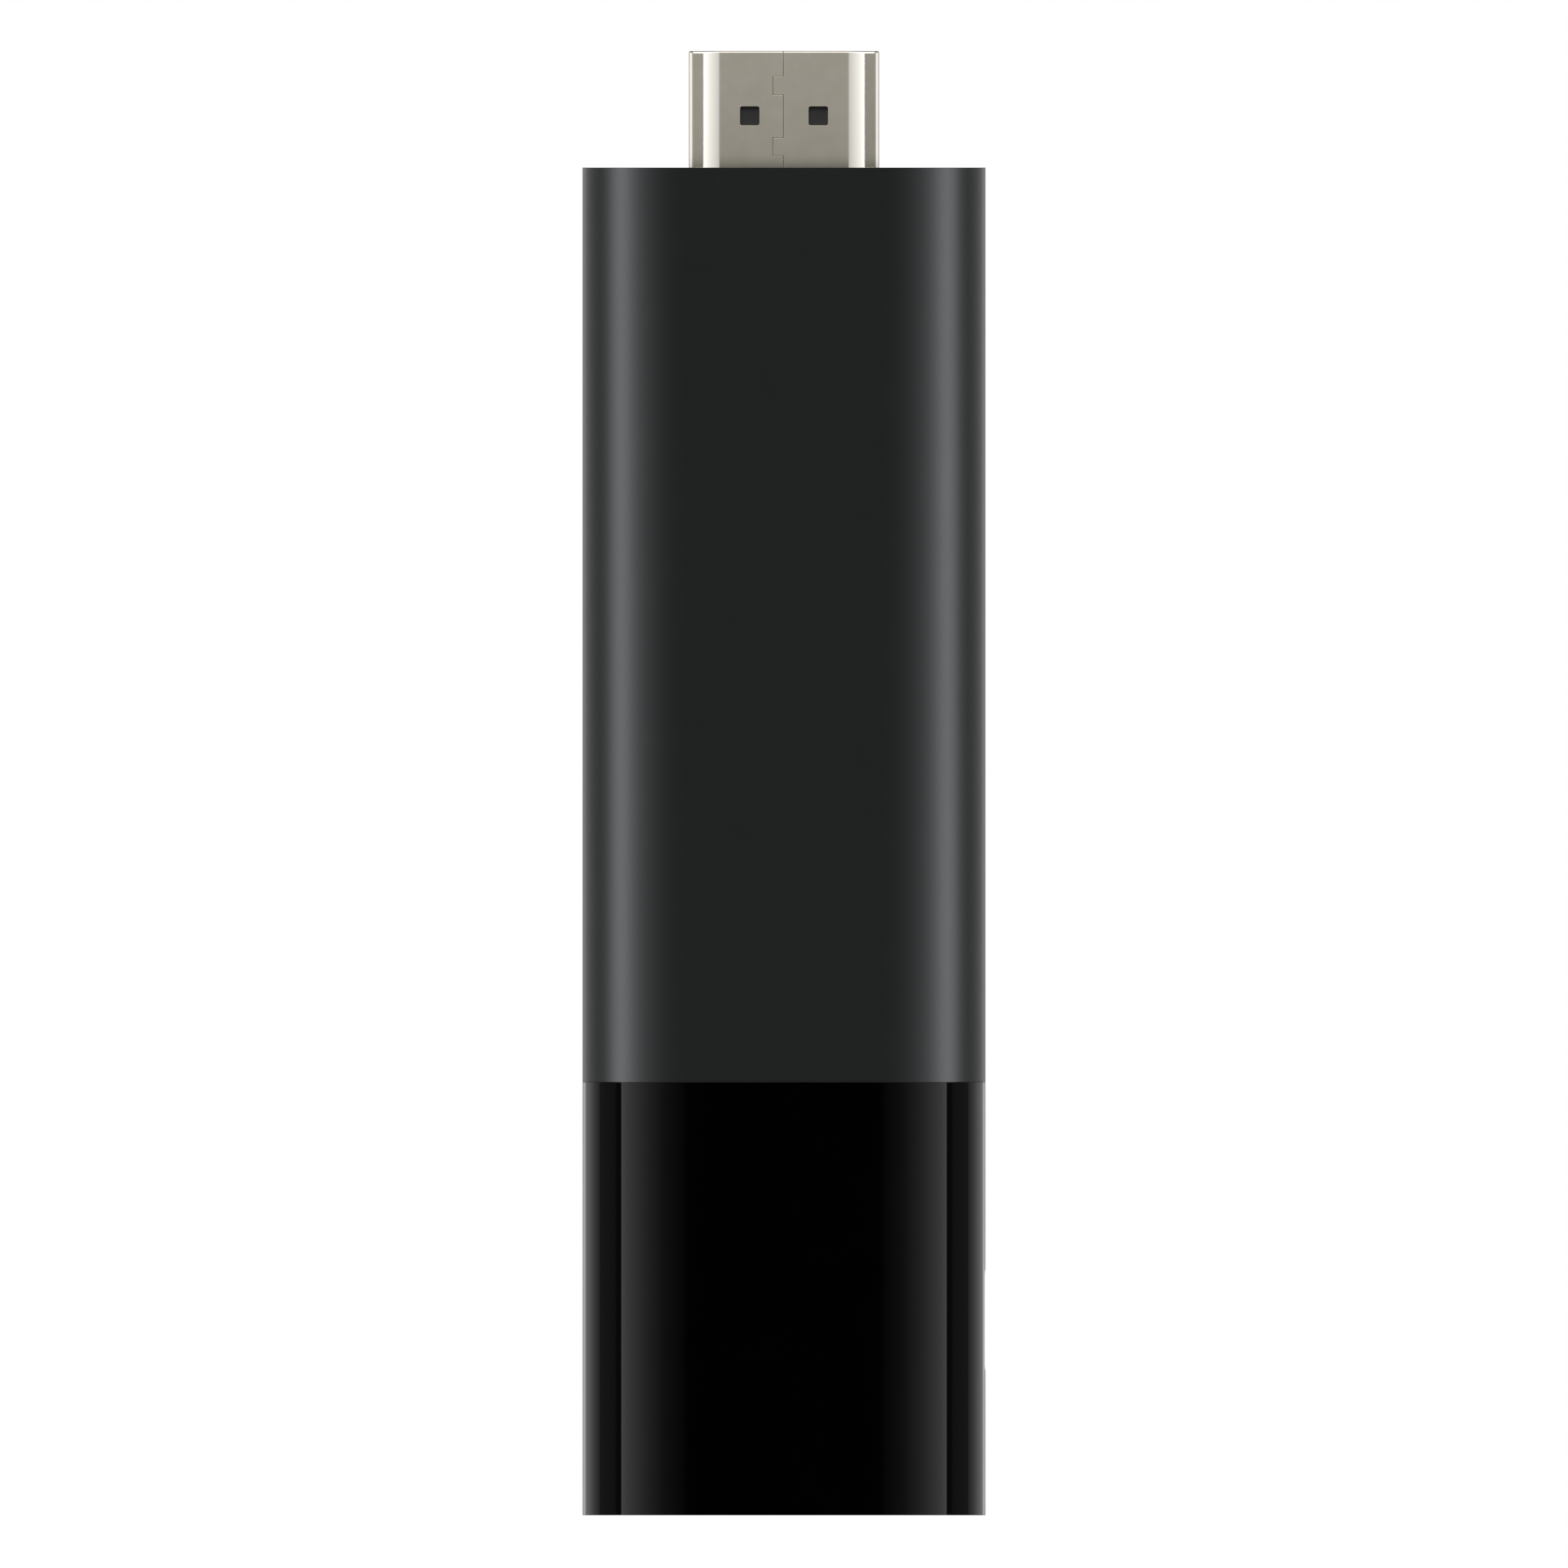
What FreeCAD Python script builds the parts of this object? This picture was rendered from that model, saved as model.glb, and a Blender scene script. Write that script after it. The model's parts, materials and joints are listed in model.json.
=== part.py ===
# A streaming media stick: a matte sleeve and a gloss cap around a circuit board, with a video
# plug at one end, a charging socket in the cap's side, radio shields and heat spreaders.
# Lengths are in millimetres. X runs across the stick, Y through it from front to rear and Z
# along it, from the cap's closed end, on which it stands, up to the tip of the plug.

import FreeCAD, Part
import math
import os
import Sketcher

DRIVING_SIZES = {
    # Housing
    "body_width": 29.4,
    "body_thickness": 15.4,
    "cap_length": 31.6,
    "sleeve_length": 66.7,
    "wall": 1.3,
    "cap_end_wall": 1.6,
    "plug_end_wall": 1.6,
    "edge_bevel": 0.12,
    # Joint between the sleeve and the cap
    "collar_length": 5.0,
    "collar_wall": 1.1,
    "collar_root": 3.0,
    "collar_board_gap": 1.1,
    "collar_clearance": 0.1,
    "hook_width": 7.0,
    "hook_rise": 0.3,
    "hook_length": 1.6,
    "hook_place": 1.6,
    "hook_clearance": 0.1,
    # Ribs and rails inside the housing
    "rib_thickness": 1.0,
    "rib_count": 7,
    "cap_rib_length": 6.0,
    "rail_thickness": 1.2,
    "rail_grip": 1.6,
    "rail_gap": 0.8,
    # Circuit board
    "board_thickness": 1.0,
    "board_side_gap": 0.4,
    "board_end_gap": 0.3,
    "board_clearance": 0.1,
    "board_corner": 0.8,
    # Video plug
    "plug_width": 13.9,
    "plug_height": 4.45,
    "plug_reach": 8.5,
    "plug_root": 9.3,
    "plug_sheet": 0.3,
    "plug_clearance": 0.15,
    "plug_front_flat": 9.24,
    "plug_crease_radius": 0.42,
    "plug_shoulder_radius": 4.53,
    "plug_cheek_radius": 3.75,
    "plug_back_radius": 0.8,
    "plug_rim_bevel": 0.14,
    "plug_leg_width": 1.4,
    "plug_leg_length": 4.2,
    "window_width": 1.42,
    "window_length": 1.38,
    "window_depth_from_tip": 4.72,
    "window_spacing": 5.0,
    "window_corner": 0.15,
    "seam_gap": 0.05,
    "seam_joint_gap": 0.02,
    "seam_tabs": 2,
    "seam_tab_width": 1.33,
    "seam_tab_depth": 0.77,
    "seam_first_tab": 2.52,
    "seam_tab_pitch": 4.47,
    "insulator_clearance": 0.03,
    "insulator_setback": 0.6,
    "insulator_rear_gap": 0.6,
    "mouth_wall": 0.82,
    "mouth_height": 2.0,
    "mouth_depth": 8.6,
    "contact_width": 0.3,
    "contact_sheet": 0.15,
    "contact_pitch": 1.0,
    "contact_clearance": 0.03,
    "contact_rise": 0.45,
    "contact_ramp": 0.9,
    "contact_bow": 0.2,
    "contact_nose": 1.0,
    "contact_setback": 1.2,
    "contact_tail": 2.4,
    "front_contacts": 10,
    "rear_contacts": 9,
    # Charging socket
    "socket_place": 14.25,
    "socket_width": 7.5,
    "socket_height": 2.45,
    "socket_depth": 5.6,
    "socket_sheet": 0.25,
    "socket_bevel": 0.9,
    "socket_wall_gap": 0.2,
    "socket_clearance": 0.2,
    "socket_tab_width": 1.2,
    "socket_tab_length": 3.6,
    "socket_rear_block": 1.6,
    "tongue_width": 3.7,
    "tongue_thickness": 0.65,
    "tongue_length": 3.3,
    "tongue_shift": 0.25,
    "socket_contact_width": 0.3,
    "socket_contact_sheet": 0.1,
    "socket_contact_pitch": 0.65,
    "socket_contacts": 5,
    "port_width": 7.3,
    "port_height": 1.85,
    "port_corner": 0.5,
    # Heat spreaders and their screws
    "spreader_plate": 1.6,
    "spreader_clearance": 0.3,
    "spreader_rail_gap": 0.4,
    "spreader_collar_gap": 0.8,
    "spreader_plug_gap": 3.0,
    "boss_wall": 0.3,
    "boss_inset": 3.3,
    "boss_floor": 1.2,
    "screw_shank": 1.6,
    "screw_length": 5.0,
    "screw_head": 3.0,
    "screw_head_height": 0.9,
    "screw_slot": 0.4,
    "screw_slot_depth": 0.4,
    "screw_hole_clearance": 0.1,
    "screw_thread_clearance": 0.03,
    "head_clearance": 0.2,
    # Shields and their pads
    "shield_height": 1.7,
    "shield_sheet": 0.2,
    "shield_flange": 1.0,
    "shield_boss_gap": 1.2,
    "rear_shield_length": 27.0,
    "cover_clearance": 0.05,
    "cover_side_gap": 0.55,
    "cover_skirt": 1.1,
    "cover_slit": 0.3,
    "cover_slit_pitch": 4.0,
    "cover_slits": 5,
    "cover_pad_length": 18.0,
    "cover_pad_thickness": 1.0,
    "pad_inset": 0.5,
    # Chips and small parts
    "chip_gap": 1.0,
    "chip_side_gap": 0.55,
    "processor_side": 12.5,
    "processor_height": 1.2,
    "memory_width": 7.5,
    "memory_length": 11.0,
    "memory_height": 1.0,
    "storage_length": 11.0,
    "storage_height": 1.0,
    "wireless_side": 10.0,
    "wireless_height": 1.1,
    "power_chip_side": 6.0,
    "power_chip_height": 0.9,
    "crystal_width": 3.2,
    "crystal_length": 2.5,
    "crystal_height": 0.8,
    "crystal_pitch": 5.0,
    "coil_side": 4.0,
    "coil_height": 2.0,
    "coil_flange": 0.5,
    "coil_waist": 1.5,
    "coil_corner": 0.8,
    "coil_pitch": 5.0,
    "coils": 3,
    "capacitor_width": 1.25,
    "capacitor_length": 2.0,
    "capacitor_height": 1.25,
    "resistor_width": 0.8,
    "resistor_length": 1.6,
    "resistor_height": 0.45,
    "small_part_pitch": 2.0,
    "small_part_inset": 1.6,
    "small_part_rise": 4.0,
    # Aerials and their carriers
    "carrier_height": 3.5,
    "carrier_wall": 1.0,
    "carrier_rib_gap": 0.6,
    "carrier_collar_reach": 2.6,
    "carrier_clearance": 0.5,
    "peg_radius": 0.45,
    "peg_inset": 4.0,
    "peg_clearance": 0.1,
    "antenna_sheet": 0.2,
    "antenna_border": 1.0,
    "antenna_length": 13.0,
    "antenna_leg_width": 1.6,
    "antenna_foot": 1.5,
    "antenna_leg_gap": 0.1,
    "antenna_slot": 1.0,
    "antenna_arm": 3.0,
    "antenna_neck": 4.1,
}

TAN_SIXTEENTH_TURN = math.tan(math.pi / 8)

# How far the plug's section has turned from its front where its shoulder, its bevel and its
# cheek begin
SHOULDER_TURN = math.radians(23)
BEVEL_TURN = math.radians(41)
CHEEK_TURN = math.radians(68)

FRONT = -1
REAR = 1
# Which way each origin plane's normal points along the axis that it is square to.
NORMAL = {"XY": 1, "XZ": -1, "YZ": 1}

doc = FreeCAD.newDocument("media_stick")
sheet = doc.addObject("Spreadsheet::Sheet", "Sizes")
nodes = []


class Size:
    """A length worked out from the sheet: its value, and the expression that it is bound by."""

    def __init__(self, value, text):
        self.value = value
        self.text = text

    def join(self, sign, other, value):
        return Size(value, "(%s %s %s)" % (self.text, sign, other.text))

    def __add__(self, other):
        other = as_size(other)
        return self.join("+", other, self.value + other.value)

    def __radd__(self, other):
        return as_size(other) + self

    def __sub__(self, other):
        other = as_size(other)
        return self.join("-", other, self.value - other.value)

    def __rsub__(self, other):
        return as_size(other) - self

    def __mul__(self, other):
        other = as_size(other)
        return self.join("*", other, self.value * other.value)

    def __rmul__(self, other):
        return as_size(other) * self

    def __truediv__(self, other):
        other = as_size(other)
        return self.join("/", other, self.value / other.value)

    def __neg__(self):
        return self * -1


def as_size(number):
    """A plain number as a Size, and a Size as it is."""
    if isinstance(number, Size):
        return number
    return Size(float(number), "(%r)" % float(number))


def root(size):
    """The square root of a Size."""
    return Size(math.sqrt(size.value), "sqrt(%s)" % size.text)


def whole(size):
    """The whole number at or below a Size."""
    return Size(math.floor(size.value), "floor(%s)" % size.text)


class Sizes:
    """The driving sizes by name, each bound to its cell in the sheet."""

    def __init__(self, table):
        for row, (name, value) in enumerate(table.items(), start=1):
            sheet.set("A%d" % row, name)
            sheet.set("B%d" % row, str(value))
            sheet.setAlias("B%d" % row, name)
            setattr(self, name, Size(float(value), "Sizes." + name))


def bind(item, name, size):
    """Tie a property of an object to a length from the sheet."""
    item.setExpression(name, as_size(size).text)


class Outline:
    """A sketch whose every point is held at a place worked out from the sheet."""

    def __init__(self, body, plane, at):
        self.plane = plane
        self.sketch = body.newObject("Sketcher::SketchObject", body.Label + "_outline")
        origin = {part.Role: part for part in body.Origin.OriginFeatures}
        self.sketch.AttachmentSupport = [(origin[plane + "_Plane"], "")]
        self.sketch.MapMode = "FlatFace"
        bind(self.sketch, "AttachmentOffset.Base.z", as_size(at) * NORMAL[plane])

    def hold(self, kind, *place_and_size):
        *place, size = place_and_size
        index = self.sketch.addConstraint(Sketcher.Constraint(kind, *place, size.value))
        self.sketch.setExpression("Constraints[%d]" % index, size.text)

    def hold_point(self, edge, end, across, up):
        self.hold("DistanceX", -1, 1, edge, end, as_size(across))
        self.hold("DistanceY", -1, 1, edge, end, as_size(up))

    def path(self, points):
        """Draw a closed path through points of (across, up) or (across, up, radius).

        A radius bends the stretch that leads to its point, to the left when it is positive
        and to the right when it is negative.
        """
        points = [tuple(as_size(number) for number in point) for point in points]
        edges = []
        for place, point in enumerate(points):
            start = points[place - 1]
            radius = point[2] if len(point) == 3 else None
            edges.append(self.edge(start, point, radius))
        for place, (edge, first, last) in enumerate(edges):
            following, next_first, _ = edges[(place + 1) % len(edges)]
            corner = Sketcher.Constraint("Coincident", edge, last, following, next_first)
            self.sketch.addConstraint(corner)
            self.hold_point(edge, last, points[place][0], points[place][1])
        return self

    def edge(self, start, end, radius):
        """Add one line or arc, and give its index and which of its ends come first and last."""
        a = FreeCAD.Vector(start[0].value, start[1].value, 0)
        b = FreeCAD.Vector(end[0].value, end[1].value, 0)
        if radius is None:
            return self.sketch.addGeometry(Part.LineSegment(a, b), False), 1, 2
        left = radius.value > 0
        size = abs(radius.value)
        along = b - a
        square = FreeCAD.Vector(-along.y, along.x, 0).normalize()
        height = math.sqrt(max(size * size - along.Length ** 2 / 4, 0))
        centre = (a + b) / 2 + square * (height if left else -height)
        first, last = (a, b) if left else (b, a)
        angles = [math.atan2(p.y - centre.y, p.x - centre.x) for p in (first, last)]
        if angles[1] < angles[0]:
            angles[1] += 2 * math.pi
        circle = Part.Circle(centre, FreeCAD.Vector(0, 0, 1), size)
        edge = self.sketch.addGeometry(Part.ArcOfCircle(circle, *angles), False)
        self.hold("Radius", edge, radius if left else -radius)
        return (edge, 1, 2) if left else (edge, 2, 1)

    def box(self, left, right, bottom, top):
        return self.path([(left, bottom), (right, bottom), (right, top), (left, top)])

    def soft_box(self, left, right, bottom, top, radius):
        """A rectangle with round corners."""
        return self.path([
            (left + radius, bottom), (right - radius, bottom),
            (right, bottom + radius, radius), (right, top - radius),
            (right - radius, top, radius), (left + radius, top),
            (left, top - radius, radius), (left, bottom + radius),
            (left + radius, bottom, radius),
        ][1:])

    def circle(self, across, up, radius):
        across, up, radius = as_size(across), as_size(up), as_size(radius)
        centre = FreeCAD.Vector(across.value, up.value, 0)
        circle = Part.Circle(centre, FreeCAD.Vector(0, 0, 1), radius.value)
        edge = self.sketch.addGeometry(circle, False)
        self.hold_point(edge, 3, across, up)
        self.hold("Radius", edge, radius)
        return self


class Piece:
    """One sub-part: a body, with the features that shape it."""

    def __init__(self, label):
        self.body = doc.addObject("PartDesign::Body", label)
        self.body.Label = label
        nodes.append(self.body)

    def draw(self, plane, at=0):
        return Outline(self.body, plane, at)

    def feature(self, kind, outline, length, reversed_, both_ways):
        made = self.body.newObject("PartDesign::" + kind, self.body.Label + "_" + kind.lower())
        made.Profile = outline.sketch
        bind(made, "Length", length)
        made.Reversed = reversed_
        if both_ways:
            made.SideType = "Symmetric"
        doc.recompute()
        return made

    def pad(self, outline, length, towards=1, both_ways=False):
        """Add material from an outline, towards the plus or minus end of its plane's axis."""
        return self.feature("Pad", outline, length, towards != NORMAL[outline.plane], both_ways)

    def cut(self, outline, length, towards=1, both_ways=False):
        """Take material away from an outline, and make sure that some was."""
        before = self.body.Shape.Volume
        made = self.feature(
            "Pocket", outline, length, towards == NORMAL[outline.plane], both_ways
        )
        self.expect_less(before, made)
        return made

    def expect_less(self, before, made):
        if self.body.Shape.Volume > before - 1e-6:
            raise ValueError(made.Name + " takes nothing away")

    def row(self, originals, axis, pitch, count):
        """Repeat features along an axis at a pitch."""
        made = self.body.newObject("PartDesign::LinearPattern", self.body.Label + "_row")
        made.Originals = originals
        origin = {part.Role: part for part in self.body.Origin.OriginFeatures}
        made.Direction = (origin[axis + "_Axis"], [""])
        bind(made, "Length", pitch * (count - 1))
        bind(made, "Occurrences", count)
        self.body.Tip = made
        doc.recompute()
        return made

    def bevel_rim(self, height, size):
        """Bevel every edge that lies at one height along Z."""
        level = height.value
        base = self.body.Tip
        flat = [
            "Edge%d" % number
            for number, edge in enumerate(self.body.Shape.Edges, start=1)
            if max(abs(v.Z - level) for v in edge.Vertexes) < 1e-6
        ]
        made = self.body.newObject("PartDesign::Chamfer", self.body.Label + "_bevel")
        made.Base = (base, flat)
        bind(made, "Size", size)
        doc.recompute()
        return made


def block(label, centre_x, near, far, centre_z, width, length):
    """A plain box between two depths, such as a chip or a soft pad."""
    box = doc.addObject("Part::Box", label)
    box.Label = label
    bind(box, "Length", width)
    bind(box, "Width", far - near)
    bind(box, "Height", length)
    bind(box, "Placement.Base.x", centre_x - width / 2)
    bind(box, "Placement.Base.y", near)
    bind(box, "Placement.Base.z", centre_z - length / 2)
    nodes.append(box)
    return box


def on_side(label, side, start, thickness, centre_x, centre_z, width, length):
    """A plain box that lies on something on the front or the rear side of the board."""
    near, far = start, start + thickness
    if side == FRONT:
        near, far = -far, -near
    return block(label, centre_x, near, far, centre_z, width, length)


S = Sizes(DRIVING_SIZES)
doc.recompute()

# Places along the stick
split = S.cap_length
body_top = S.cap_length + S.sleeve_length
plug_tip = body_top + S.plug_reach
plug_rear = body_top - S.plug_root
collar_top = split + S.collar_length
cap_ribs_top = S.cap_end_wall + S.cap_rib_length
sleeve_ceiling = body_top - S.plug_end_wall
board_bottom = S.cap_end_wall + S.board_end_gap
board_top = plug_rear - S.board_clearance
spreader_bottom = collar_top + S.spreader_collar_gap
spreader_top = plug_rear - S.spreader_plug_gap
boss_bottom = spreader_bottom + S.boss_inset
boss_top = spreader_top - S.boss_inset
carrier_bottom = cap_ribs_top + S.carrier_rib_gap
carrier_top = split + S.carrier_collar_reach
contact_start = board_top - S.contact_tail
contact_end = plug_tip - S.contact_setback

# Places across and through the stick
half_width = S.body_width / 2
half_thick = S.body_thickness / 2
side_flat = half_width - half_thick
inner_radius = half_thick - S.wall
inner_half_width = half_width - S.wall
wall_middle = half_thick - S.wall / 2
collar_radius = inner_radius - S.collar_clearance
collar_inner = collar_radius - S.collar_wall
board_face = S.board_thickness / 2
collar_slot = board_face + S.collar_board_gap
board_half_width = inner_half_width - S.board_side_gap
rib_pitch = inner_half_width * 2 / S.rib_count
socket_mouth = inner_half_width - S.socket_wall_gap
socket_back = socket_mouth - S.socket_depth
plug_half_width = S.plug_width / 2
plug_half_height = S.plug_height / 2
leg_middle = plug_half_width - S.plug_sheet / 2
spreader_radius = inner_radius - S.spreader_clearance
spreader_inner = spreader_radius - S.spreader_plate
spreader_edge = board_face + S.board_clearance + S.rail_thickness + S.spreader_rail_gap
boss_radius = S.screw_head / 2 + S.head_clearance + S.boss_wall
shield_face = board_face + S.shield_height
cover_face = shield_face + S.shield_sheet
cover_pad_face = cover_face + S.cover_pad_thickness
carrier_face = board_face + S.carrier_height
screw_seat = board_face + S.boss_floor

# Where the shields lie along the stick, between the two screw bosses
shield_bottom = boss_bottom + boss_radius + S.shield_boss_gap
shield_top = boss_top - boss_radius - S.shield_boss_gap
shield_middle = (shield_bottom + shield_top) / 2


def reach(across, radius):
    """How far the pill whose round sides have this radius reaches through Y at this X."""
    beyond = across - side_flat
    return root(radius * radius - beyond * beyond) if beyond.value > 0 else radius


def reach_across(depth, radius):
    """How far the pill whose round sides have this radius reaches across X at this Y."""
    return side_flat + root(radius * radius - depth * depth)


carrier_half_width = reach_across(carrier_face + S.antenna_sheet, collar_inner) - S.carrier_clearance
cover_half_width = reach_across(cover_face, spreader_inner) - S.cover_side_gap
shield_half_width = cover_half_width - S.shield_sheet - S.cover_clearance
cover_pad_half_width = side_flat


def pill(outline, radius):
    """The stick's cross-section, or one that lies inside it at a smaller radius."""
    nose = side_flat + radius
    return outline.path([
        (side_flat, -radius), (nose, 0, radius), (side_flat, radius, radius),
        (-side_flat, radius), (-nose, 0, radius), (-side_flat, -radius, radius),
    ])


def half_ring(outline, side, radius, inner, edge):
    """The front or rear half of a pill-shaped ring that stops short of the middle plane."""
    outer_x = reach_across(edge, radius)
    inner_x = reach_across(edge, inner)
    bend = side
    return outline.path([
        (outer_x, edge * side), (side_flat, radius * side, radius * bend),
        (-side_flat, radius * side), (-outer_x, edge * side, radius * bend),
        (-inner_x, edge * side), (-side_flat, inner * side, inner * -bend),
        (side_flat, inner * side), (inner_x, edge * side, inner * -bend),
    ])


def bend_end(across, up, radius, turn, end_turn):
    """Where a bend to the left ends that starts at a point, each turn counted from across."""
    end_across = across + radius * (math.sin(end_turn) - math.sin(turn))
    return end_across, up + radius * (math.cos(turn) - math.cos(end_turn))


def plug_profile(outline, inset):
    """The plug's cross-section, or one that lies inside it by an inset."""
    half = plug_half_width - inset
    high = plug_half_height - inset
    flat = S.plug_front_flat / 2
    crease = S.plug_crease_radius - inset
    shoulder = S.plug_shoulder_radius - inset
    cheek = S.plug_cheek_radius - inset
    back = S.plug_back_radius - inset
    crease_x, crease_y = bend_end(flat, -high, crease, 0, SHOULDER_TURN)
    bevel_x, bevel_y = bend_end(crease_x, crease_y, shoulder, SHOULDER_TURN, BEVEL_TURN)
    cheek_x = half - cheek * (1 - math.sin(CHEEK_TURN))
    corner_x = cheek_x - crease * (math.sin(CHEEK_TURN) - math.sin(BEVEL_TURN))
    corner_y = bevel_y + (corner_x - bevel_x) * math.tan(BEVEL_TURN)
    cheek_y = corner_y + crease * (math.cos(BEVEL_TURN) - math.cos(CHEEK_TURN))
    side_y = cheek_y + cheek * math.cos(CHEEK_TURN)
    return outline.path([
        (flat, -high), (crease_x, crease_y, crease), (bevel_x, bevel_y, shoulder),
        (corner_x, corner_y), (cheek_x, cheek_y, crease), (half, side_y, cheek),
        (half, high - back), (half - back, high, back), (back - half, high),
        (-half, high - back, back), (-half, side_y), (-cheek_x, cheek_y, cheek),
        (-corner_x, corner_y, crease), (-bevel_x, bevel_y), (-crease_x, crease_y, shoulder),
        (-flat, -high, crease),
    ])


def socket_profile(outline, inset):
    """The charging socket's cross-section in Y and Z, bevelled towards the rear."""
    high = S.socket_height / 2 - inset
    half = S.socket_width / 2 - inset
    bevel_y = S.socket_height / 2 - S.socket_bevel - inset * TAN_SIXTEENTH_TURN
    bevel_z = S.socket_width / 2 - S.socket_bevel - inset * TAN_SIXTEENTH_TURN
    low = S.socket_place
    return outline.path([
        (-high, low - half), (bevel_y, low - half), (high, low - bevel_z),
        (high, low + bevel_z), (bevel_y, low + half), (-high, low + half),
    ])


def rib_comb(piece, start, length, towards):
    """Ribs that cross the housing from wall to wall, at one end of it."""
    ribs = piece.draw("XY", start)
    for number in range(int(S.rib_count.value)):
        middle = rib_pitch * (number + 0.5) - inner_half_width
        left = middle - S.rib_thickness / 2
        right = middle + S.rib_thickness / 2
        far = right if middle.value > 0 else -left
        high = reach(far, wall_middle)
        ribs.box(left, right, -high, high)
    return piece.pad(ribs, length, towards)


def make_sleeve():
    sleeve = Piece("sleeve")
    sleeve.pad(pill(sleeve.draw("XY", split), half_thick), S.sleeve_length)
    sleeve.bevel_rim(body_top, S.edge_bevel)
    hollow = pill(sleeve.draw("XY", split), inner_radius)
    sleeve.cut(hollow, S.sleeve_length - S.plug_end_wall)
    rib_comb(sleeve, plug_rear, sleeve_ceiling - plug_rear + S.plug_end_wall / 2, 1)
    opening = plug_profile(sleeve.draw("XY", body_top), -S.plug_clearance)
    sleeve.cut(opening, S.plug_root, -1)
    add_rails(sleeve)
    recess = sleeve.draw("XZ")
    low = split + S.hook_place - S.hook_clearance
    high = low + S.hook_length + S.hook_clearance * 2
    wide = S.hook_width / 2 + S.hook_clearance
    recess.box(-wide, wide, low, high)
    deep = collar_radius + S.hook_rise + S.hook_clearance
    sleeve.cut(recess, deep * 2, both_ways=True)


def add_rails(sleeve):
    """Four rails that hold the board's two long edges."""
    near = board_face + S.board_clearance
    far = near + S.rail_thickness
    outer = reach_across(far, wall_middle)
    inner = board_half_width - S.rail_grip
    rails = sleeve.draw("XY", collar_top + S.rail_gap)
    for low, high in ((near, far), (-far, -near)):
        rails.box(inner, outer, low, high)
        rails.box(-outer, -inner, low, high)
    sleeve.pad(rails, plug_rear - collar_top - S.rail_gap)


def make_end_cap():
    cap = Piece("end_cap")
    cap.pad(pill(cap.draw("XY"), half_thick), S.cap_length)
    cap.bevel_rim(as_size(0), S.edge_bevel)
    hollow = pill(cap.draw("XY", split), inner_radius)
    cap.cut(hollow, S.cap_length - S.cap_end_wall, -1)
    for side in (FRONT, REAR):
        foot = half_ring(
            cap.draw("XY", split - S.collar_root), side, wall_middle, collar_inner, collar_slot
        )
        cap.pad(foot, S.collar_root)
        collar = half_ring(
            cap.draw("XY", split), side, collar_radius, collar_inner, collar_slot
        )
        cap.pad(collar, S.collar_length)
    rib_comb(cap, S.cap_end_wall / 2, S.cap_rib_length + S.cap_end_wall / 2, 1)
    slot = board_face + S.board_clearance
    board_slot = cap.draw("XY", cap_ribs_top)
    board_slot.box(-board_half_width, board_half_width, -slot, slot)
    cap.cut(board_slot, S.cap_rib_length, -1)
    add_hooks(cap)
    port = cap.draw("YZ")
    port.soft_box(
        -S.port_height / 2, S.port_height / 2,
        S.socket_place - S.port_width / 2, S.socket_place + S.port_width / 2,
        S.port_corner,
    )
    cap.cut(port, S.body_width)


def add_hooks(cap):
    """A sloping hook on the front and on the rear of the collar."""
    hooks = cap.draw("YZ")
    low = split + S.hook_place
    root_depth = collar_radius - S.collar_wall / 2
    tip = collar_radius + S.hook_rise
    crest = low + S.hook_length / 2
    top = low + S.hook_length
    hooks.path([(root_depth, low), (tip, low), (tip, crest), (root_depth, top)])
    hooks.path([(-root_depth, top), (-tip, crest), (-tip, low), (-root_depth, low)])
    cap.pad(hooks, S.hook_width, both_ways=True)


def make_plug_shell():
    shell = Piece("plug_shell")
    shell.pad(plug_profile(shell.draw("XY", plug_rear), 0), plug_tip - plug_rear)
    shell.bevel_rim(plug_tip, S.plug_rim_bevel)
    legs = shell.draw("YZ")
    low = plug_rear - S.plug_leg_length
    legs.box(-S.plug_leg_width / 2, S.plug_leg_width / 2, low, plug_rear + S.plug_sheet)
    shell.pad(legs, S.plug_width, both_ways=True)
    between = shell.draw("YZ")
    between.box(-S.plug_leg_width, S.plug_leg_width, low - S.plug_sheet, plug_rear)
    shell.cut(between, S.plug_width - S.plug_sheet * 2, both_ways=True)
    shell.cut(plug_profile(shell.draw("XY", plug_tip), S.plug_sheet), plug_tip - plug_rear, -1)
    windows = shell.draw("XZ")
    middle = plug_tip - S.window_depth_from_tip
    for centre in (S.window_spacing / -2, S.window_spacing / 2):
        windows.soft_box(
            centre - S.window_width / 2, centre + S.window_width / 2,
            middle - S.window_length / 2, middle + S.window_length / 2,
            S.window_corner,
        )
    shell.cut(windows, S.plug_height * 2, both_ways=True)
    cut_seam(shell)


def cut_seam(shell):
    """The folded sheet's seam down the front face, with two tabs that lock its edges."""
    gap = S.seam_gap / 2
    joint = S.seam_joint_gap / 2
    deep = S.seam_tab_depth
    top = plug_tip + S.plug_sheet
    bottom = plug_rear - S.plug_sheet
    left_edge = [(-gap, top)]
    right_edge = [(gap, top)]
    for number in range(int(S.seam_tabs.value)):
        middle = plug_tip - S.seam_first_tab - S.seam_tab_pitch * number
        high = middle + S.seam_tab_width / 2
        low = middle - S.seam_tab_width / 2
        left_edge += [
            (-gap, high + joint), (-gap - deep, high + joint),
            (-gap - deep, low - joint), (-gap, low - joint),
        ]
        right_edge += [
            (gap, high - joint), (gap - deep, high - joint),
            (gap - deep, low + joint), (gap, low + joint),
        ]
    left_edge.append((-gap, bottom))
    right_edge.append((gap, bottom))
    seam = shell.draw("XZ", S.plug_sheet * 2 - plug_half_height)
    seam.path(left_edge + right_edge[::-1])
    shell.cut(seam, S.plug_sheet * 3, FRONT)


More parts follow.
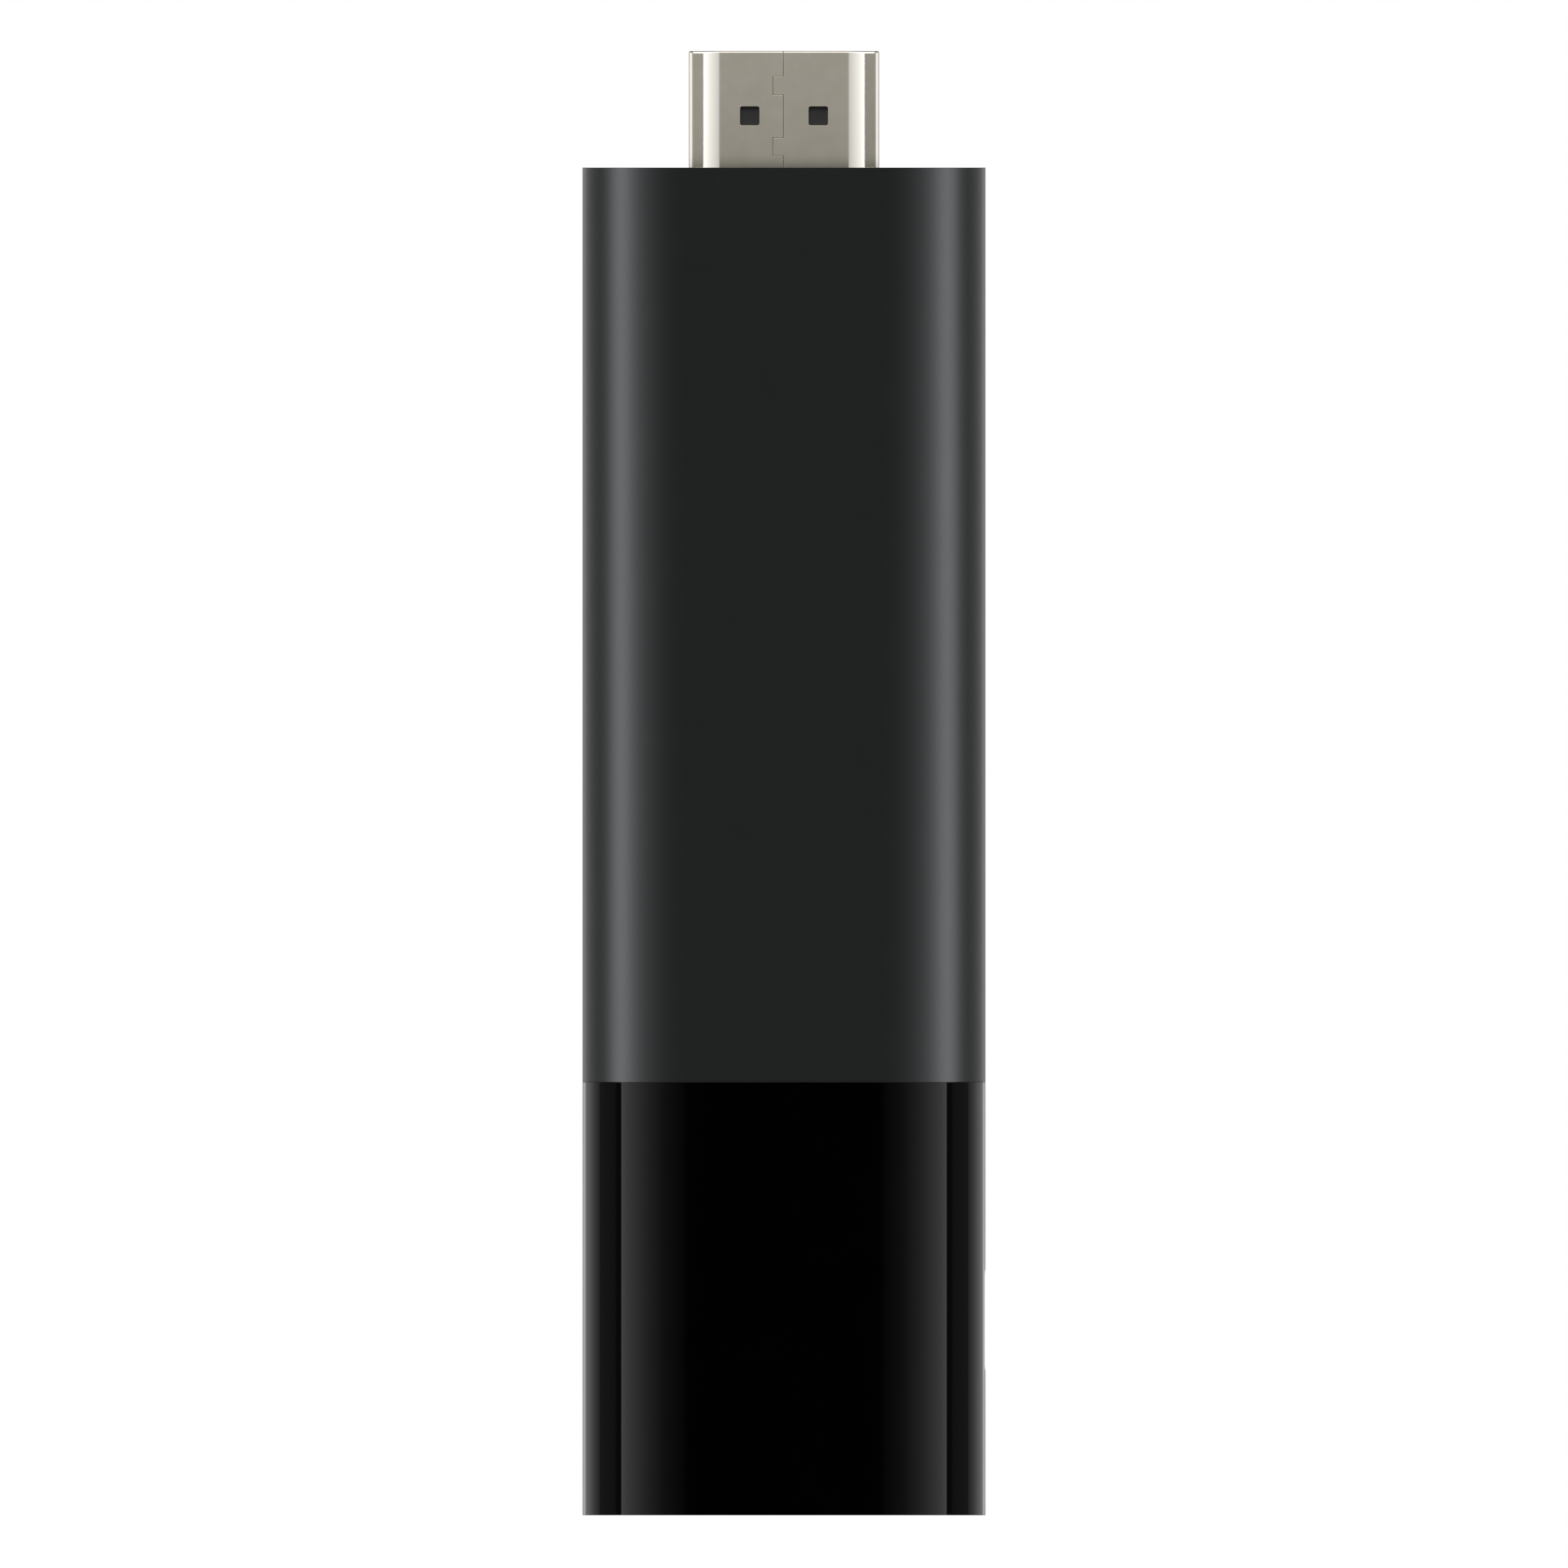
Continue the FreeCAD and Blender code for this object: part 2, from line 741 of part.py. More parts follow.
def make_plug_insulator():
    insulator = Piece("plug_insulator")
    bottom = plug_rear + S.insulator_rear_gap
    top = plug_tip - S.insulator_setback
    inset = S.plug_sheet + S.insulator_clearance
    insulator.pad(plug_profile(insulator.draw("XY", bottom), inset), top - bottom)
    mouth = insulator.draw("XY", top)
    half = plug_half_width - inset - S.mouth_wall
    high = S.mouth_height / 2
    mouth.box(-half, half, -high, high)
    insulator.cut(mouth, S.mouth_depth, -1)
    for side, count in ((FRONT, S.front_contacts), (REAR, S.rear_contacts)):
        cut_contact_channels(insulator, side, count, bottom, top)


def cut_contact_channels(insulator, side, count, bottom, top):
    """One channel for each contact of a row, from the plug's rear to near its tip."""
    channel = insulator.draw("XY", bottom)
    first = S.contact_pitch * (count - 1) / -2
    half = S.contact_width / 2 + S.contact_clearance
    near = board_face - S.contact_clearance
    far = board_face + S.contact_rise + S.contact_sheet + S.contact_clearance
    low, high = (near, far) if side == REAR else (-far, -near)
    channel.box(first - half, first + half, low, high)
    made = insulator.cut(channel, top - bottom - S.insulator_setback)
    insulator.row([made], "X", S.contact_pitch, count)


def make_plug_contacts(label, side, count):
    """A row of bent spring contacts, whose tails lie on the board."""
    contacts = Piece(label)
    first = S.contact_pitch * (count - 1) / -2
    sheet_ = S.contact_sheet
    low, high = board_face, board_face + S.contact_rise
    bend = plug_rear + S.insulator_rear_gap + S.contact_clearance
    beam = bend + S.contact_ramp
    crest = contact_end - S.contact_nose
    bow = high - S.contact_bow
    inner = [
        (low, contact_start), (low, bend), (high, beam), (high, crest - S.contact_nose),
        (bow, crest), (high, contact_end),
    ]
    outer = [(y + sheet_, z) for y, z in inner]
    strip = inner + outer[::-1]
    if side == FRONT:
        strip = [(-y, z) for y, z in strip]
    profile = contacts.draw("YZ", first)
    profile.path(strip)
    made = contacts.pad(profile, S.contact_width, both_ways=True)
    contacts.row([made], "X", S.contact_pitch, count)


def make_main_board():
    board = Piece("main_board")
    sheet_outline = board.draw("XZ")
    sheet_outline.soft_box(
        -board_half_width, board_half_width, board_bottom, board_top, S.board_corner
    )
    board.pad(sheet_outline, S.board_thickness, both_ways=True)
    notches = board.draw("XZ")
    half = S.socket_width / 2 + S.socket_clearance
    notches.box(
        socket_back - S.socket_clearance, half_width,
        S.socket_place - half, S.socket_place + half,
    )
    leg_slot = S.plug_sheet / 2 + S.board_clearance
    leg_end = plug_rear - S.plug_leg_length - S.board_clearance
    for middle in (-leg_middle, leg_middle):
        notches.box(middle - leg_slot, middle + leg_slot, leg_end, plug_rear)
    board.cut(notches, S.board_thickness * 2, both_ways=True)
    holes = board.draw("XZ")
    for up in (boss_bottom, boss_top):
        holes.circle(0, up, S.screw_shank / 2 + S.screw_hole_clearance)
    for across in peg_places():
        holes.circle(across, carrier_top - S.peg_inset, S.peg_radius + S.peg_clearance)
    board.cut(holes, S.board_thickness * 2, both_ways=True)


def peg_places():
    """Where the carriers' pegs stand across the board."""
    across = carrier_half_width - S.carrier_wall / 2
    return -across, across


def make_heat_spreader(label, side):
    """A cast plate that follows the housing, with a pedestal and two screw bosses."""
    spreader = Piece(label)
    length = spreader_top - spreader_bottom
    profile = half_ring(
        spreader.draw("XY", spreader_bottom), side, spreader_radius, spreader_inner,
        spreader_edge,
    )
    spreader.pad(profile, length)
    pedestal = spreader.draw("XZ", cover_pad_face * side)
    half, long_half = cover_pad_half_width, S.cover_pad_length / 2
    pedestal.box(-half, half, shield_middle - long_half, shield_middle + long_half)
    into_plate = S.spreader_plate / 2
    spreader.pad(pedestal, spreader_inner + into_plate - cover_pad_face, side)
    boss = spreader.draw("XZ", board_face * side)
    boss.circle(0, boss_bottom, boss_radius)
    bosses = spreader.pad(boss, spreader_inner + into_plate - board_face, side)
    spreader.row([bosses], "Z", boss_top - boss_bottom, as_size(2))
    hole = spreader.draw("XZ", board_face * side)
    if side == FRONT:
        hole.circle(0, boss_bottom, S.screw_shank / 2 + S.screw_thread_clearance)
        holes = [spreader.cut(hole, spreader_inner - board_face, side)]
    else:
        hole.circle(0, boss_bottom, S.screw_shank / 2 + S.screw_hole_clearance)
        holes = [spreader.cut(hole, spreader_inner, side)]
        well = spreader.draw("XZ", screw_seat * side)
        well.circle(0, boss_bottom, S.screw_head / 2 + S.head_clearance)
        holes.append(spreader.cut(well, spreader_radius, side))
    spreader.row(holes, "Z", boss_top - boss_bottom, as_size(2))


def make_spreader_screws():
    screws = Piece("spreader_screws")
    head = screws.draw("XZ", screw_seat)
    head.circle(0, boss_bottom, S.screw_head / 2)
    parts = [screws.pad(head, S.screw_head_height)]
    shank = screws.draw("XZ", screw_seat)
    shank.circle(0, boss_bottom, S.screw_shank / 2)
    parts.append(screws.pad(shank, S.screw_length, FRONT))
    slot = screws.draw("XZ", screw_seat + S.screw_head_height)
    half, long_half = S.screw_slot / 2, S.screw_head
    slot.box(-half, half, boss_bottom - long_half, boss_bottom + long_half)
    parts.append(screws.cut(slot, S.screw_slot_depth, FRONT))
    screws.row(parts, "Z", boss_top - boss_bottom, as_size(2))


def make_shield(name, side, middle, length):
    """A frame soldered to the board, and the cover that snaps over it."""
    frame = Piece(name + "_frame")
    half = shield_half_width
    low, high = middle - length / 2, middle + length / 2
    ring = frame.draw("XZ", board_face * side)
    ring.box(-half, half, low, high)
    frame.pad(ring, S.shield_height, side)
    room = frame.draw("XZ", board_face * side)
    thin = S.shield_sheet
    room.box(thin - half, half - thin, low + thin, high - thin)
    frame.cut(room, S.shield_height - thin, side)
    window = frame.draw("XZ", board_face * side)
    rim = S.shield_flange
    window.box(rim - half, half - rim, low + rim, high - rim)
    frame.cut(window, S.shield_height * 2, side)

    cover = Piece(name + "_cover")
    out = S.cover_clearance + thin
    near = shield_face - S.cover_skirt
    lid = cover.draw("XZ", near * side)
    lid.box(-half - out, half + out, low - out, high + out)
    cover.pad(lid, S.cover_skirt + thin, side)
    inside = cover.draw("XZ", near * side)
    gap = S.cover_clearance
    inside.box(-half - gap, half + gap, low - gap, high + gap)
    cover.cut(inside, S.cover_skirt, side)
    slit = cover.draw("XZ", near * side)
    start = middle - S.cover_slit_pitch * (S.cover_slits - 1) / 2
    slit.box(-half * 2, half * 2, start - S.cover_slit / 2, start + S.cover_slit / 2)
    made = cover.cut(slit, S.cover_skirt - thin, side)
    cover.row([made], "Z", S.cover_slit_pitch, S.cover_slits)
    on_side(
        name + "_pad", side, cover_face, S.cover_pad_thickness, as_size(0), shield_middle,
        cover_pad_half_width * 2, S.cover_pad_length,
    )


def make_chips():
    """The chips under the shields, and the soft pads on the two hottest."""
    front_length = shield_top - shield_bottom
    make_shield("front_shield", FRONT, shield_middle, front_length)
    make_shield("rear_shield", REAR, shield_middle, S.rear_shield_length)
    half_gap = S.chip_gap / 2
    upper = shield_middle + half_gap + S.processor_side / 2
    lower = shield_middle - half_gap - S.storage_length / 2
    add_chip("processor", FRONT, as_size(0), upper, S.processor_side, S.processor_side,
             S.processor_height)
    add_pad("processor_pad", FRONT, as_size(0), upper, S.processor_side, S.processor_height)
    room = shield_half_width - S.shield_sheet - S.chip_side_gap
    storage_width = room * 2 - S.chip_gap - S.memory_width
    add_chip("memory_chip", FRONT, S.memory_width / 2 - room, lower, S.memory_width,
             S.memory_length, S.memory_height)
    add_chip("storage_chip", FRONT, room - storage_width / 2, lower, storage_width,
             S.storage_length, S.storage_height)
    upper = shield_middle + half_gap + S.wireless_side / 2
    lower = shield_middle - half_gap - S.power_chip_side / 2
    add_chip("wireless_chip", REAR, as_size(0), upper, S.wireless_side, S.wireless_side,
             S.wireless_height)
    add_pad("wireless_pad", REAR, as_size(0), upper, S.wireless_side, S.wireless_height)
    add_chip("power_chip", REAR, S.power_chip_side / -2 - half_gap, lower,
             S.power_chip_side, S.power_chip_side, S.power_chip_height)


def add_chip(label, side, across, up, width, length, height):
    return on_side(label, side, board_face, height, across, up, width, length)


def add_pad(label, side, across, up, chip_side, chip_height):
    """The soft pad between a chip and the cover above it."""
    start = board_face + chip_height
    wide = chip_side - S.pad_inset * 2
    return on_side(label, side, start, shield_face - start, across, up, wide, wide)


def small_row(label, side, first, up, width, length, height, pitch, count):
    """A row of small board parts of one kind, from the middle of the first towards +X."""
    piece = Piece(label)
    row = piece.draw("XZ", board_face * side)
    row.box(first - width / 2, first + width / 2, up - length / 2, up + length / 2)
    made = piece.pad(row, height, side)
    piece.row([made], "X", pitch, count)


def make_small_parts():
    """Rows that fill the carriers' room beside the charging socket, and two crystals."""
    last = socket_back - S.small_part_inset
    left_limit = S.carrier_wall + S.capacitor_width - carrier_half_width
    count = whole((last - left_limit) / S.small_part_pitch) + 1
    first = last - S.small_part_pitch * (count - 1)
    row_up = carrier_bottom + S.carrier_wall + S.small_part_rise
    small_row("ceramic_capacitors", FRONT, first, row_up, S.capacitor_width,
              S.capacitor_length, S.capacitor_height, S.small_part_pitch, count)
    small_row("chip_resistors", REAR, first, row_up, S.resistor_width,
              S.resistor_length, S.resistor_height, S.small_part_pitch, count)
    crystal_up = shield_middle - S.chip_gap / 2 - S.power_chip_side - S.crystal_length
    small_row("clock_crystals", REAR, S.crystal_pitch / -2, crystal_up, S.crystal_width,
              S.crystal_length, S.crystal_height, S.crystal_pitch, as_size(2))
    make_power_coils()


def make_power_coils():
    """Drum coils: two square flanges with cut corners, and a round waist between them."""
    coils = Piece("power_coils")
    up = split - S.collar_root - S.coil_side
    across = S.coil_pitch * (S.coils - 1) / -2
    half, corner = S.coil_side / 2, S.coil_corner
    flange = [
        (corner - half, -half), (half - corner, -half), (half, corner - half),
        (half, half - corner), (half - corner, half), (corner - half, half),
        (-half, half - corner), (-half, corner - half),
    ]
    parts = []
    for start in (board_face, board_face + S.coil_height - S.coil_flange):
        plate = coils.draw("XZ", start)
        plate.path([(across + x, up + z) for x, z in flange])
        parts.append(coils.pad(plate, S.coil_flange, REAR))
        if len(parts) == 1:
            waist = coils.draw("XZ", board_face)
            waist.circle(across, up, S.coil_waist)
            parts.append(coils.pad(waist, S.coil_height, REAR))
    coils.row(parts, "X", S.coil_pitch, S.coils)


def make_antenna_carrier(label, side):
    """A moulded tray over the board's lower end, clear of the charging socket."""
    carrier = Piece(label)
    half, wall = carrier_half_width, S.carrier_wall
    tray = carrier.draw("XZ", board_face * side)
    tray.box(-half, half, carrier_bottom, carrier_top)
    carrier.pad(tray, S.carrier_height, side)
    room = carrier.draw("XZ", board_face * side)
    room.box(wall - half, half - wall, carrier_bottom + wall, carrier_top - wall)
    carrier.cut(room, S.carrier_height - wall, side)
    arch = carrier.draw("XZ", board_face * side)
    spread = S.socket_width / 2 + S.socket_tab_width + S.socket_clearance
    arch.box(
        socket_back - S.socket_clearance, half_width,
        S.socket_place - spread, S.socket_place + spread,
    )
    rise = S.socket_height / 2 + S.socket_clearance - board_face
    carrier.cut(arch, rise, side)
    pegs = carrier.draw("XZ", board_face * side)
    for across in peg_places():
        pegs.circle(across, carrier_top - S.peg_inset, S.peg_radius)
    carrier.pad(pegs, board_face - S.peg_clearance, -side)


def make_antenna(label, side):
    """A stamped aerial on its carrier, with a leg bent down to a foot on the board."""
    antenna = Piece(label)
    half = carrier_half_width - S.antenna_border
    outer_end = carrier_top + S.antenna_leg_gap + S.antenna_sheet
    plate = antenna.draw("XZ", carrier_face * side)
    plate.box(-half, half, carrier_top - S.antenna_length, carrier_top - S.antenna_border)
    antenna.pad(plate, S.antenna_sheet, side)
    slots = antenna.draw("XZ", carrier_face * side)
    low = carrier_top - S.antenna_length + S.antenna_arm
    reaches = ((-half * 2, half - S.antenna_neck), (S.antenna_neck - half, half * 2))
    for number, (left, right) in enumerate(reaches):
        bottom = low + (S.antenna_slot + S.antenna_arm) * number
        slots.box(left, right, bottom, bottom + S.antenna_slot)
    antenna.cut(slots, S.antenna_sheet * 2, side)
    strip = antenna.draw("XZ", carrier_face * side)
    leg_left, leg_right = S.antenna_leg_width / -2, S.antenna_leg_width / 2
    strip.box(leg_left, leg_right, carrier_top - S.antenna_border * 2, outer_end)
    antenna.pad(strip, S.antenna_sheet, side)
    leg = antenna.draw("XY", outer_end)
    near, far = board_face * side, (carrier_face + S.antenna_sheet) * side
    low_y, high_y = (near, far) if side == REAR else (far, near)
    leg.box(leg_left, leg_right, low_y, high_y)
    antenna.pad(leg, S.antenna_sheet, -1)
    foot = antenna.draw("XZ", board_face * side)
    foot.box(leg_left, leg_right, outer_end - S.antenna_sheet, outer_end + S.antenna_foot)
    antenna.pad(foot, S.antenna_sheet, side)


def make_socket():
    shell = Piece("usb_socket_shell")
    shell.pad(socket_profile(shell.draw("YZ", socket_back), 0), S.socket_depth)
    mouth = socket_profile(shell.draw("YZ", socket_mouth), S.socket_sheet)
    shell.cut(mouth, S.socket_depth - S.socket_sheet, -1)
    tabs = shell.draw("XZ", -board_face)
    middle = (socket_back + socket_mouth) / 2
    tab_left, tab_right = middle - S.socket_tab_length / 2, middle + S.socket_tab_length / 2
    inner = S.socket_width / 2 - S.socket_sheet
    outer = S.socket_width / 2 + S.socket_tab_width
    for low, high in ((inner, outer), (-outer, -inner)):
        tabs.box(tab_left, tab_right, S.socket_place + low, S.socket_place + high)
    shell.pad(tabs, S.socket_sheet, FRONT)

    tongue = Piece("usb_socket_tongue")
    block_back = socket_back + S.socket_sheet + S.insulator_clearance
    inset = S.socket_sheet + S.insulator_clearance
    tongue.pad(socket_profile(tongue.draw("YZ", block_back), inset), S.socket_rear_block)
    blade = tongue.draw("YZ", block_back)
    near = -S.tongue_shift - S.tongue_thickness
    half = S.tongue_width / 2
    blade.box(near, -S.tongue_shift, S.socket_place - half, S.socket_place + half)
    tongue.pad(blade, S.socket_rear_block + S.tongue_length)

    contacts = Piece("usb_socket_contacts")
    strip = contacts.draw("XZ", -S.tongue_shift)
    start = block_back + S.socket_rear_block
    bottom = S.socket_place - S.socket_contact_pitch * (S.socket_contacts - 1) / 2
    half = S.socket_contact_width / 2
    strip.box(start, start + S.tongue_length, bottom - half, bottom + half)
    made = contacts.pad(strip, S.socket_contact_sheet, REAR)
    contacts.row([made], "Z", S.socket_contact_pitch, S.socket_contacts)


def check_and_export():
    """Stop on any failed object, then write each sub-part to its own file."""
    doc.recompute()
    for item in doc.Objects:
        if "Invalid" in item.State or "Error" in item.State:
            raise ValueError("%s failed: %s" % (item.Name, item.State))
    for node in nodes:
        if node.Shape.isNull() or not node.Shape.isValid():
            raise ValueError(node.Label + " has no valid shape")
    os.makedirs("parts", exist_ok=True)
    for node in nodes:
        node.Shape.exportStep("parts/%s.step" % node.Label)
        print(node.Label, len(node.Shape.Solids), round(node.Shape.Volume, 2))


make_sleeve()
make_end_cap()
make_plug_shell()
make_plug_insulator()
make_plug_contacts("plug_contacts_front", FRONT, S.front_contacts)
make_plug_contacts("plug_contacts_rear", REAR, S.rear_contacts)
make_main_board()
make_chips()
make_small_parts()
make_heat_spreader("front_heat_spreader", FRONT)
make_heat_spreader("rear_heat_spreader", REAR)
make_spreader_screws()
make_antenna_carrier("front_antenna_carrier", FRONT)
make_antenna_carrier("rear_antenna_carrier", REAR)
make_antenna("front_antenna", FRONT)
make_antenna("rear_antenna", REAR)
make_socket()
check_and_export()
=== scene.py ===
"""A streaming media stick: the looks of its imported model, on a plain white stage."""

import json
import math

import bmesh
import bpy
from mathutils import Matrix, Vector
from mathutils.geometry import tessellate_polygon


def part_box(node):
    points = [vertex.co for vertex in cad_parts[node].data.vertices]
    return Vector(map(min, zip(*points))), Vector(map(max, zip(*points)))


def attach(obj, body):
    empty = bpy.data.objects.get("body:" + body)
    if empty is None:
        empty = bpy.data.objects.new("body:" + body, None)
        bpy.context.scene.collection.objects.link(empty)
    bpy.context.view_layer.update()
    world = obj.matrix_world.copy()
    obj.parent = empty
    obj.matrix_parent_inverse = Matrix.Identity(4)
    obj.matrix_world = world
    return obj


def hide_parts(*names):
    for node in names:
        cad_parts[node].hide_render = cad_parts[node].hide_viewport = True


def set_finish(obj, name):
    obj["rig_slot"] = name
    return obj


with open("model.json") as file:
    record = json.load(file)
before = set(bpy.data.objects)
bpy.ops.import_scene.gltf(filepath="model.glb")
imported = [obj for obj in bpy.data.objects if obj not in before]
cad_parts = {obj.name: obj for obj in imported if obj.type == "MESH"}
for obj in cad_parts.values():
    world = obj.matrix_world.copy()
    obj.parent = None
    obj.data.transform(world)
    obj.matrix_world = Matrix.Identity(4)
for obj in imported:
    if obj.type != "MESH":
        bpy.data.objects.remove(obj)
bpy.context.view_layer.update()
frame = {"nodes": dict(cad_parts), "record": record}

MM = 0.001
QUARTER_TURN = math.pi / 2
HALF_TURN = math.pi
SAME_PLACE = 1e-7
SAME_LINE = SAME_PLACE * 10
SHARP_ANGLE = math.radians(30)

# The photograph's frame, and the rows of it where the plug's tip and the cap's end lie
PHOTO_SIDE_PX = 1932
PLUG_TIP_PX = 62.9
CAP_END_PX = 1867.04
CAMERA_AWAY = 0.5

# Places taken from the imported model
sleeve_low, sleeve_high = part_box("sleeve")
plug_low, plug_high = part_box("plug_shell")
HALF_WIDTH = sleeve_high.x
HALF_THICK = sleeve_high.y
SPLIT = sleeve_low.z
BODY_TOP = sleeve_high.z
PLUG_FOOT = plug_low.z
PLUG_TIP = plug_high.z
PLUG_HALF_WIDTH = plug_high.x
PLUG_HALF_HEIGHT = plug_high.y

# Housing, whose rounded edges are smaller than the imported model's bevels, because the photograph
# shows no light along them
WALL = 1.3 * MM
CAP_FLOOR = 1.6 * MM
SLEEVE_ROOF = 1.6 * MM
END_ROUND = 0.02 * MM
JOINT_ROUND = 0.02 * MM
OPENING_GAP = 0.15 * MM
OPENING_ROUND = 0.08 * MM
COLLAR_GAP = 0.1 * MM
COLLAR_WALL = 1.1 * MM
COLLAR_LOW = 28.6 * MM
COLLAR_HIGH = 36.6 * MM
SIDE_STEPS = 56
FLAT_STEPS = 4
ROUND_STEPS = 4

# Charging opening in the cap's right side
PORT_PLACE = 14.25 * MM
PORT_HALF_LENGTH = 3.65 * MM
PORT_HALF_HEIGHT = 0.925 * MM
PORT_CORNER = 0.5 * MM
PORT_ROUND = 0.12 * MM
PORT_MARGIN = 0.6 * MM
PORT_COLUMNS = 12
PORT_ROWS = 34

# Plug shell, whose cheeks lead from its bevels to its sides. They are flatter than the packed
# model's, so that the outer edges mirror what they mirror in the photograph
PLUG_SHEET = 0.3 * MM
PLUG_FLAT = 9.24 * MM
SHOULDER_TURN = math.radians(23)
BEVEL_TURN = math.radians(41)
CHEEK_TURN = math.radians(76)
CREASE_RADIUS = 0.42 * MM
SHOULDER_RADIUS = 4.53 * MM
CHEEK_RADIUS = 8.0 * MM
BACK_RADIUS = 0.8 * MM
LEG_LENGTH = 4.2 * MM
LEG_WIDTH = 1.4 * MM
RIM_ROUND = 0.14 * MM
BEND_STEPS = 12
CREASE_STEPS = 4

# Its spring windows
WINDOW_HALF_WIDTH = 0.71 * MM
WINDOW_HALF_LENGTH = 0.69 * MM
WINDOW_FROM_TIP = 4.72 * MM
WINDOW_OFF_MIDDLE = 2.5 * MM
WINDOW_CORNER = 0.15 * MM
WINDOW_ROUND = 0.03 * MM
WINDOW_MARGIN = 0.3 * MM
WINDOW_STEPS = 12

# Its seam and the tabs that lock it. The edges lean towards each other inside the sheet and
# nearly touch, so that no light comes through
SEAM_GAP = 0.05 * MM
SEAM_JOINT_GAP = 0.02 * MM
SEAM_ROUND = 0.025 * MM
SEAM_LEAN = 0.0245 * MM
SEAM_OFF_MIDDLE = 0.05 * MM
TAB_WIDTH = 1.33 * MM
TAB_DEPTH = 0.77 * MM
TABS_FROM_TIP = (2.52 * MM, 6.99 * MM)

# How far above the sleeve its plate is darkened as painted shade, how far below the tip its cut edge
# is dark, partly as painted shade, and between which turns of the surface it is paler as a painted
# highlight
PAINTED_FOOT_SHADE = 1.2 * MM
SHADED_CUT_EDGE = 0.06 * MM
PAINTED_HIGHLIGHT_FROM = SHOULDER_TURN / 2
PAINTED_HIGHLIGHT_TO = BEVEL_TURN - math.radians(1)


class Path:
    """A closed outline in X and Y, made of straight runs and bends to the left.

    A place on it is the distance along it from its start, and a depth is measured inwards
    from it, so that a sheet bent round the outline keeps its thickness.
    """

    def __init__(self, x, y):
        self.spans = []
        self.marks = [0.0]
        self.length = 0.0
        self.end = Vector((x, y))
        self.heading = 0.0

    def inwards(self, heading):
        """The direction to the left of a heading."""
        return Vector((-math.sin(heading), math.cos(heading)))

    def run(self, length, steps=1):
        """Go straight on."""
        along = Vector((math.cos(self.heading), math.sin(self.heading)))
        self.spans.append((self.length, self.end.copy(), self.heading, None))
        self.end += along * length
        return self.add_marks(length, steps)

    def bend(self, radius, turn, steps):
        """Go round to the left."""
        centre = self.end + self.inwards(self.heading) * radius
        self.spans.append((self.length, centre, self.heading, radius))
        self.heading += turn
        self.end = centre - self.inwards(self.heading) * radius
        return self.add_marks(radius * turn, steps)

    def add_marks(self, length, steps):
        """Mark even steps over the length that was added last."""
        self.marks += [self.length + length * (step + 1) / steps for step in range(steps)]
        self.length += length
        return self

    def at(self, place, depth=0.0):
        """The point at a distance along the outline and a depth inwards from it."""
        chosen = self.spans[0]
        for span in self.spans:
            if place >= span[0] - SAME_PLACE:
                chosen = span
        start, anchor, heading, radius = chosen
        if radius is None:
            along = Vector((math.cos(heading), math.sin(heading)))
            foot = anchor + along * (place - start)
        else:
            heading += (place - start) / radius
            foot = anchor - self.inwards(heading) * radius
        return foot + self.inwards(heading) * depth


def pill_path():
    """The housing's cross-section, from the middle of its front and to the right first."""
    flat = HALF_WIDTH - HALF_THICK
    path = Path(0, -HALF_THICK)
    path.run(flat, FLAT_STEPS).bend(HALF_THICK, HALF_TURN, SIDE_STEPS)
    path.run(flat * 2, FLAT_STEPS * 2).bend(HALF_THICK, HALF_TURN, SIDE_STEPS)
    return path.run(flat, FLAT_STEPS)


def plug_path():
    """The plug's cross-section, from the middle of its front and to the right first."""
    shoulder = [
        (CREASE_RADIUS, SHOULDER_TURN, CREASE_STEPS),
        (SHOULDER_RADIUS, BEVEL_TURN - SHOULDER_TURN, BEND_STEPS),
    ]
    cheek = [
        (CREASE_RADIUS, CHEEK_TURN - BEVEL_TURN, CREASE_STEPS),
        (CHEEK_RADIUS, QUARTER_TURN - CHEEK_TURN, BEND_STEPS),
    ]

    def bend_all(path, bends):
        """Go round several bends after each other."""
        for bend in bends:
            path.bend(*bend)

    corner = Path(PLUG_FLAT / 2, -PLUG_HALF_HEIGHT)
    bend_all(corner, shoulder + cheek)
    bevel = PLUG_HALF_WIDTH - corner.end.x
    side_y = corner.end.y + bevel * math.tan(BEVEL_TURN)
    side = PLUG_HALF_HEIGHT - BACK_RADIUS - side_y
    back = (PLUG_HALF_WIDTH - BACK_RADIUS) * 2
    path = Path(0, -PLUG_HALF_HEIGHT)
    path.run(PLUG_FLAT / 2)
    bend_all(path, shoulder)
    path.run(bevel / math.cos(BEVEL_TURN))
    bend_all(path, cheek)
    path.right_side = path.length - side_y
    path.run(side).bend(BACK_RADIUS, QUARTER_TURN, BEND_STEPS)
    path.run(back).bend(BACK_RADIUS, QUARTER_TURN, BEND_STEPS)
    path.run(side)
    bend_all(path, reversed(cheek))
    path.run(bevel / math.cos(BEVEL_TURN))
    bend_all(path, reversed(shoulder))
    return path.run(PLUG_FLAT / 2)


def quarter_round(radius):
    """Points round an edge, each as its way in from the one face and from the other."""
    angles = [QUARTER_TURN * step / ROUND_STEPS for step in range(ROUND_STEPS + 1)]
    return [(radius * (1 - math.cos(a)), radius * (1 - math.sin(a))) for a in angles]


def ring(bm, path, depth, z, places=None):
    """A closed ring of points along an outline, at its own marks or at given places."""
    return [bm.verts.new((*path.at(place, depth), z)) for place in (places or path.marks[:-1])]


def join_rings(bm, rings):
    """Bands of faces between rings of as many points."""
    for first, second in zip(rings, rings[1:]):
        for number, vert in enumerate(first):
            following = (number + 1) % len(first)
            bm.faces.new((vert, first[following], second[following], second[number]))


def sweep(bm, path, stations):
    """A skin through rings along an outline, each at a depth and a height."""
    rings = [ring(bm, path, depth, z) for depth, z in stations]
    join_rings(bm, rings)
    return rings


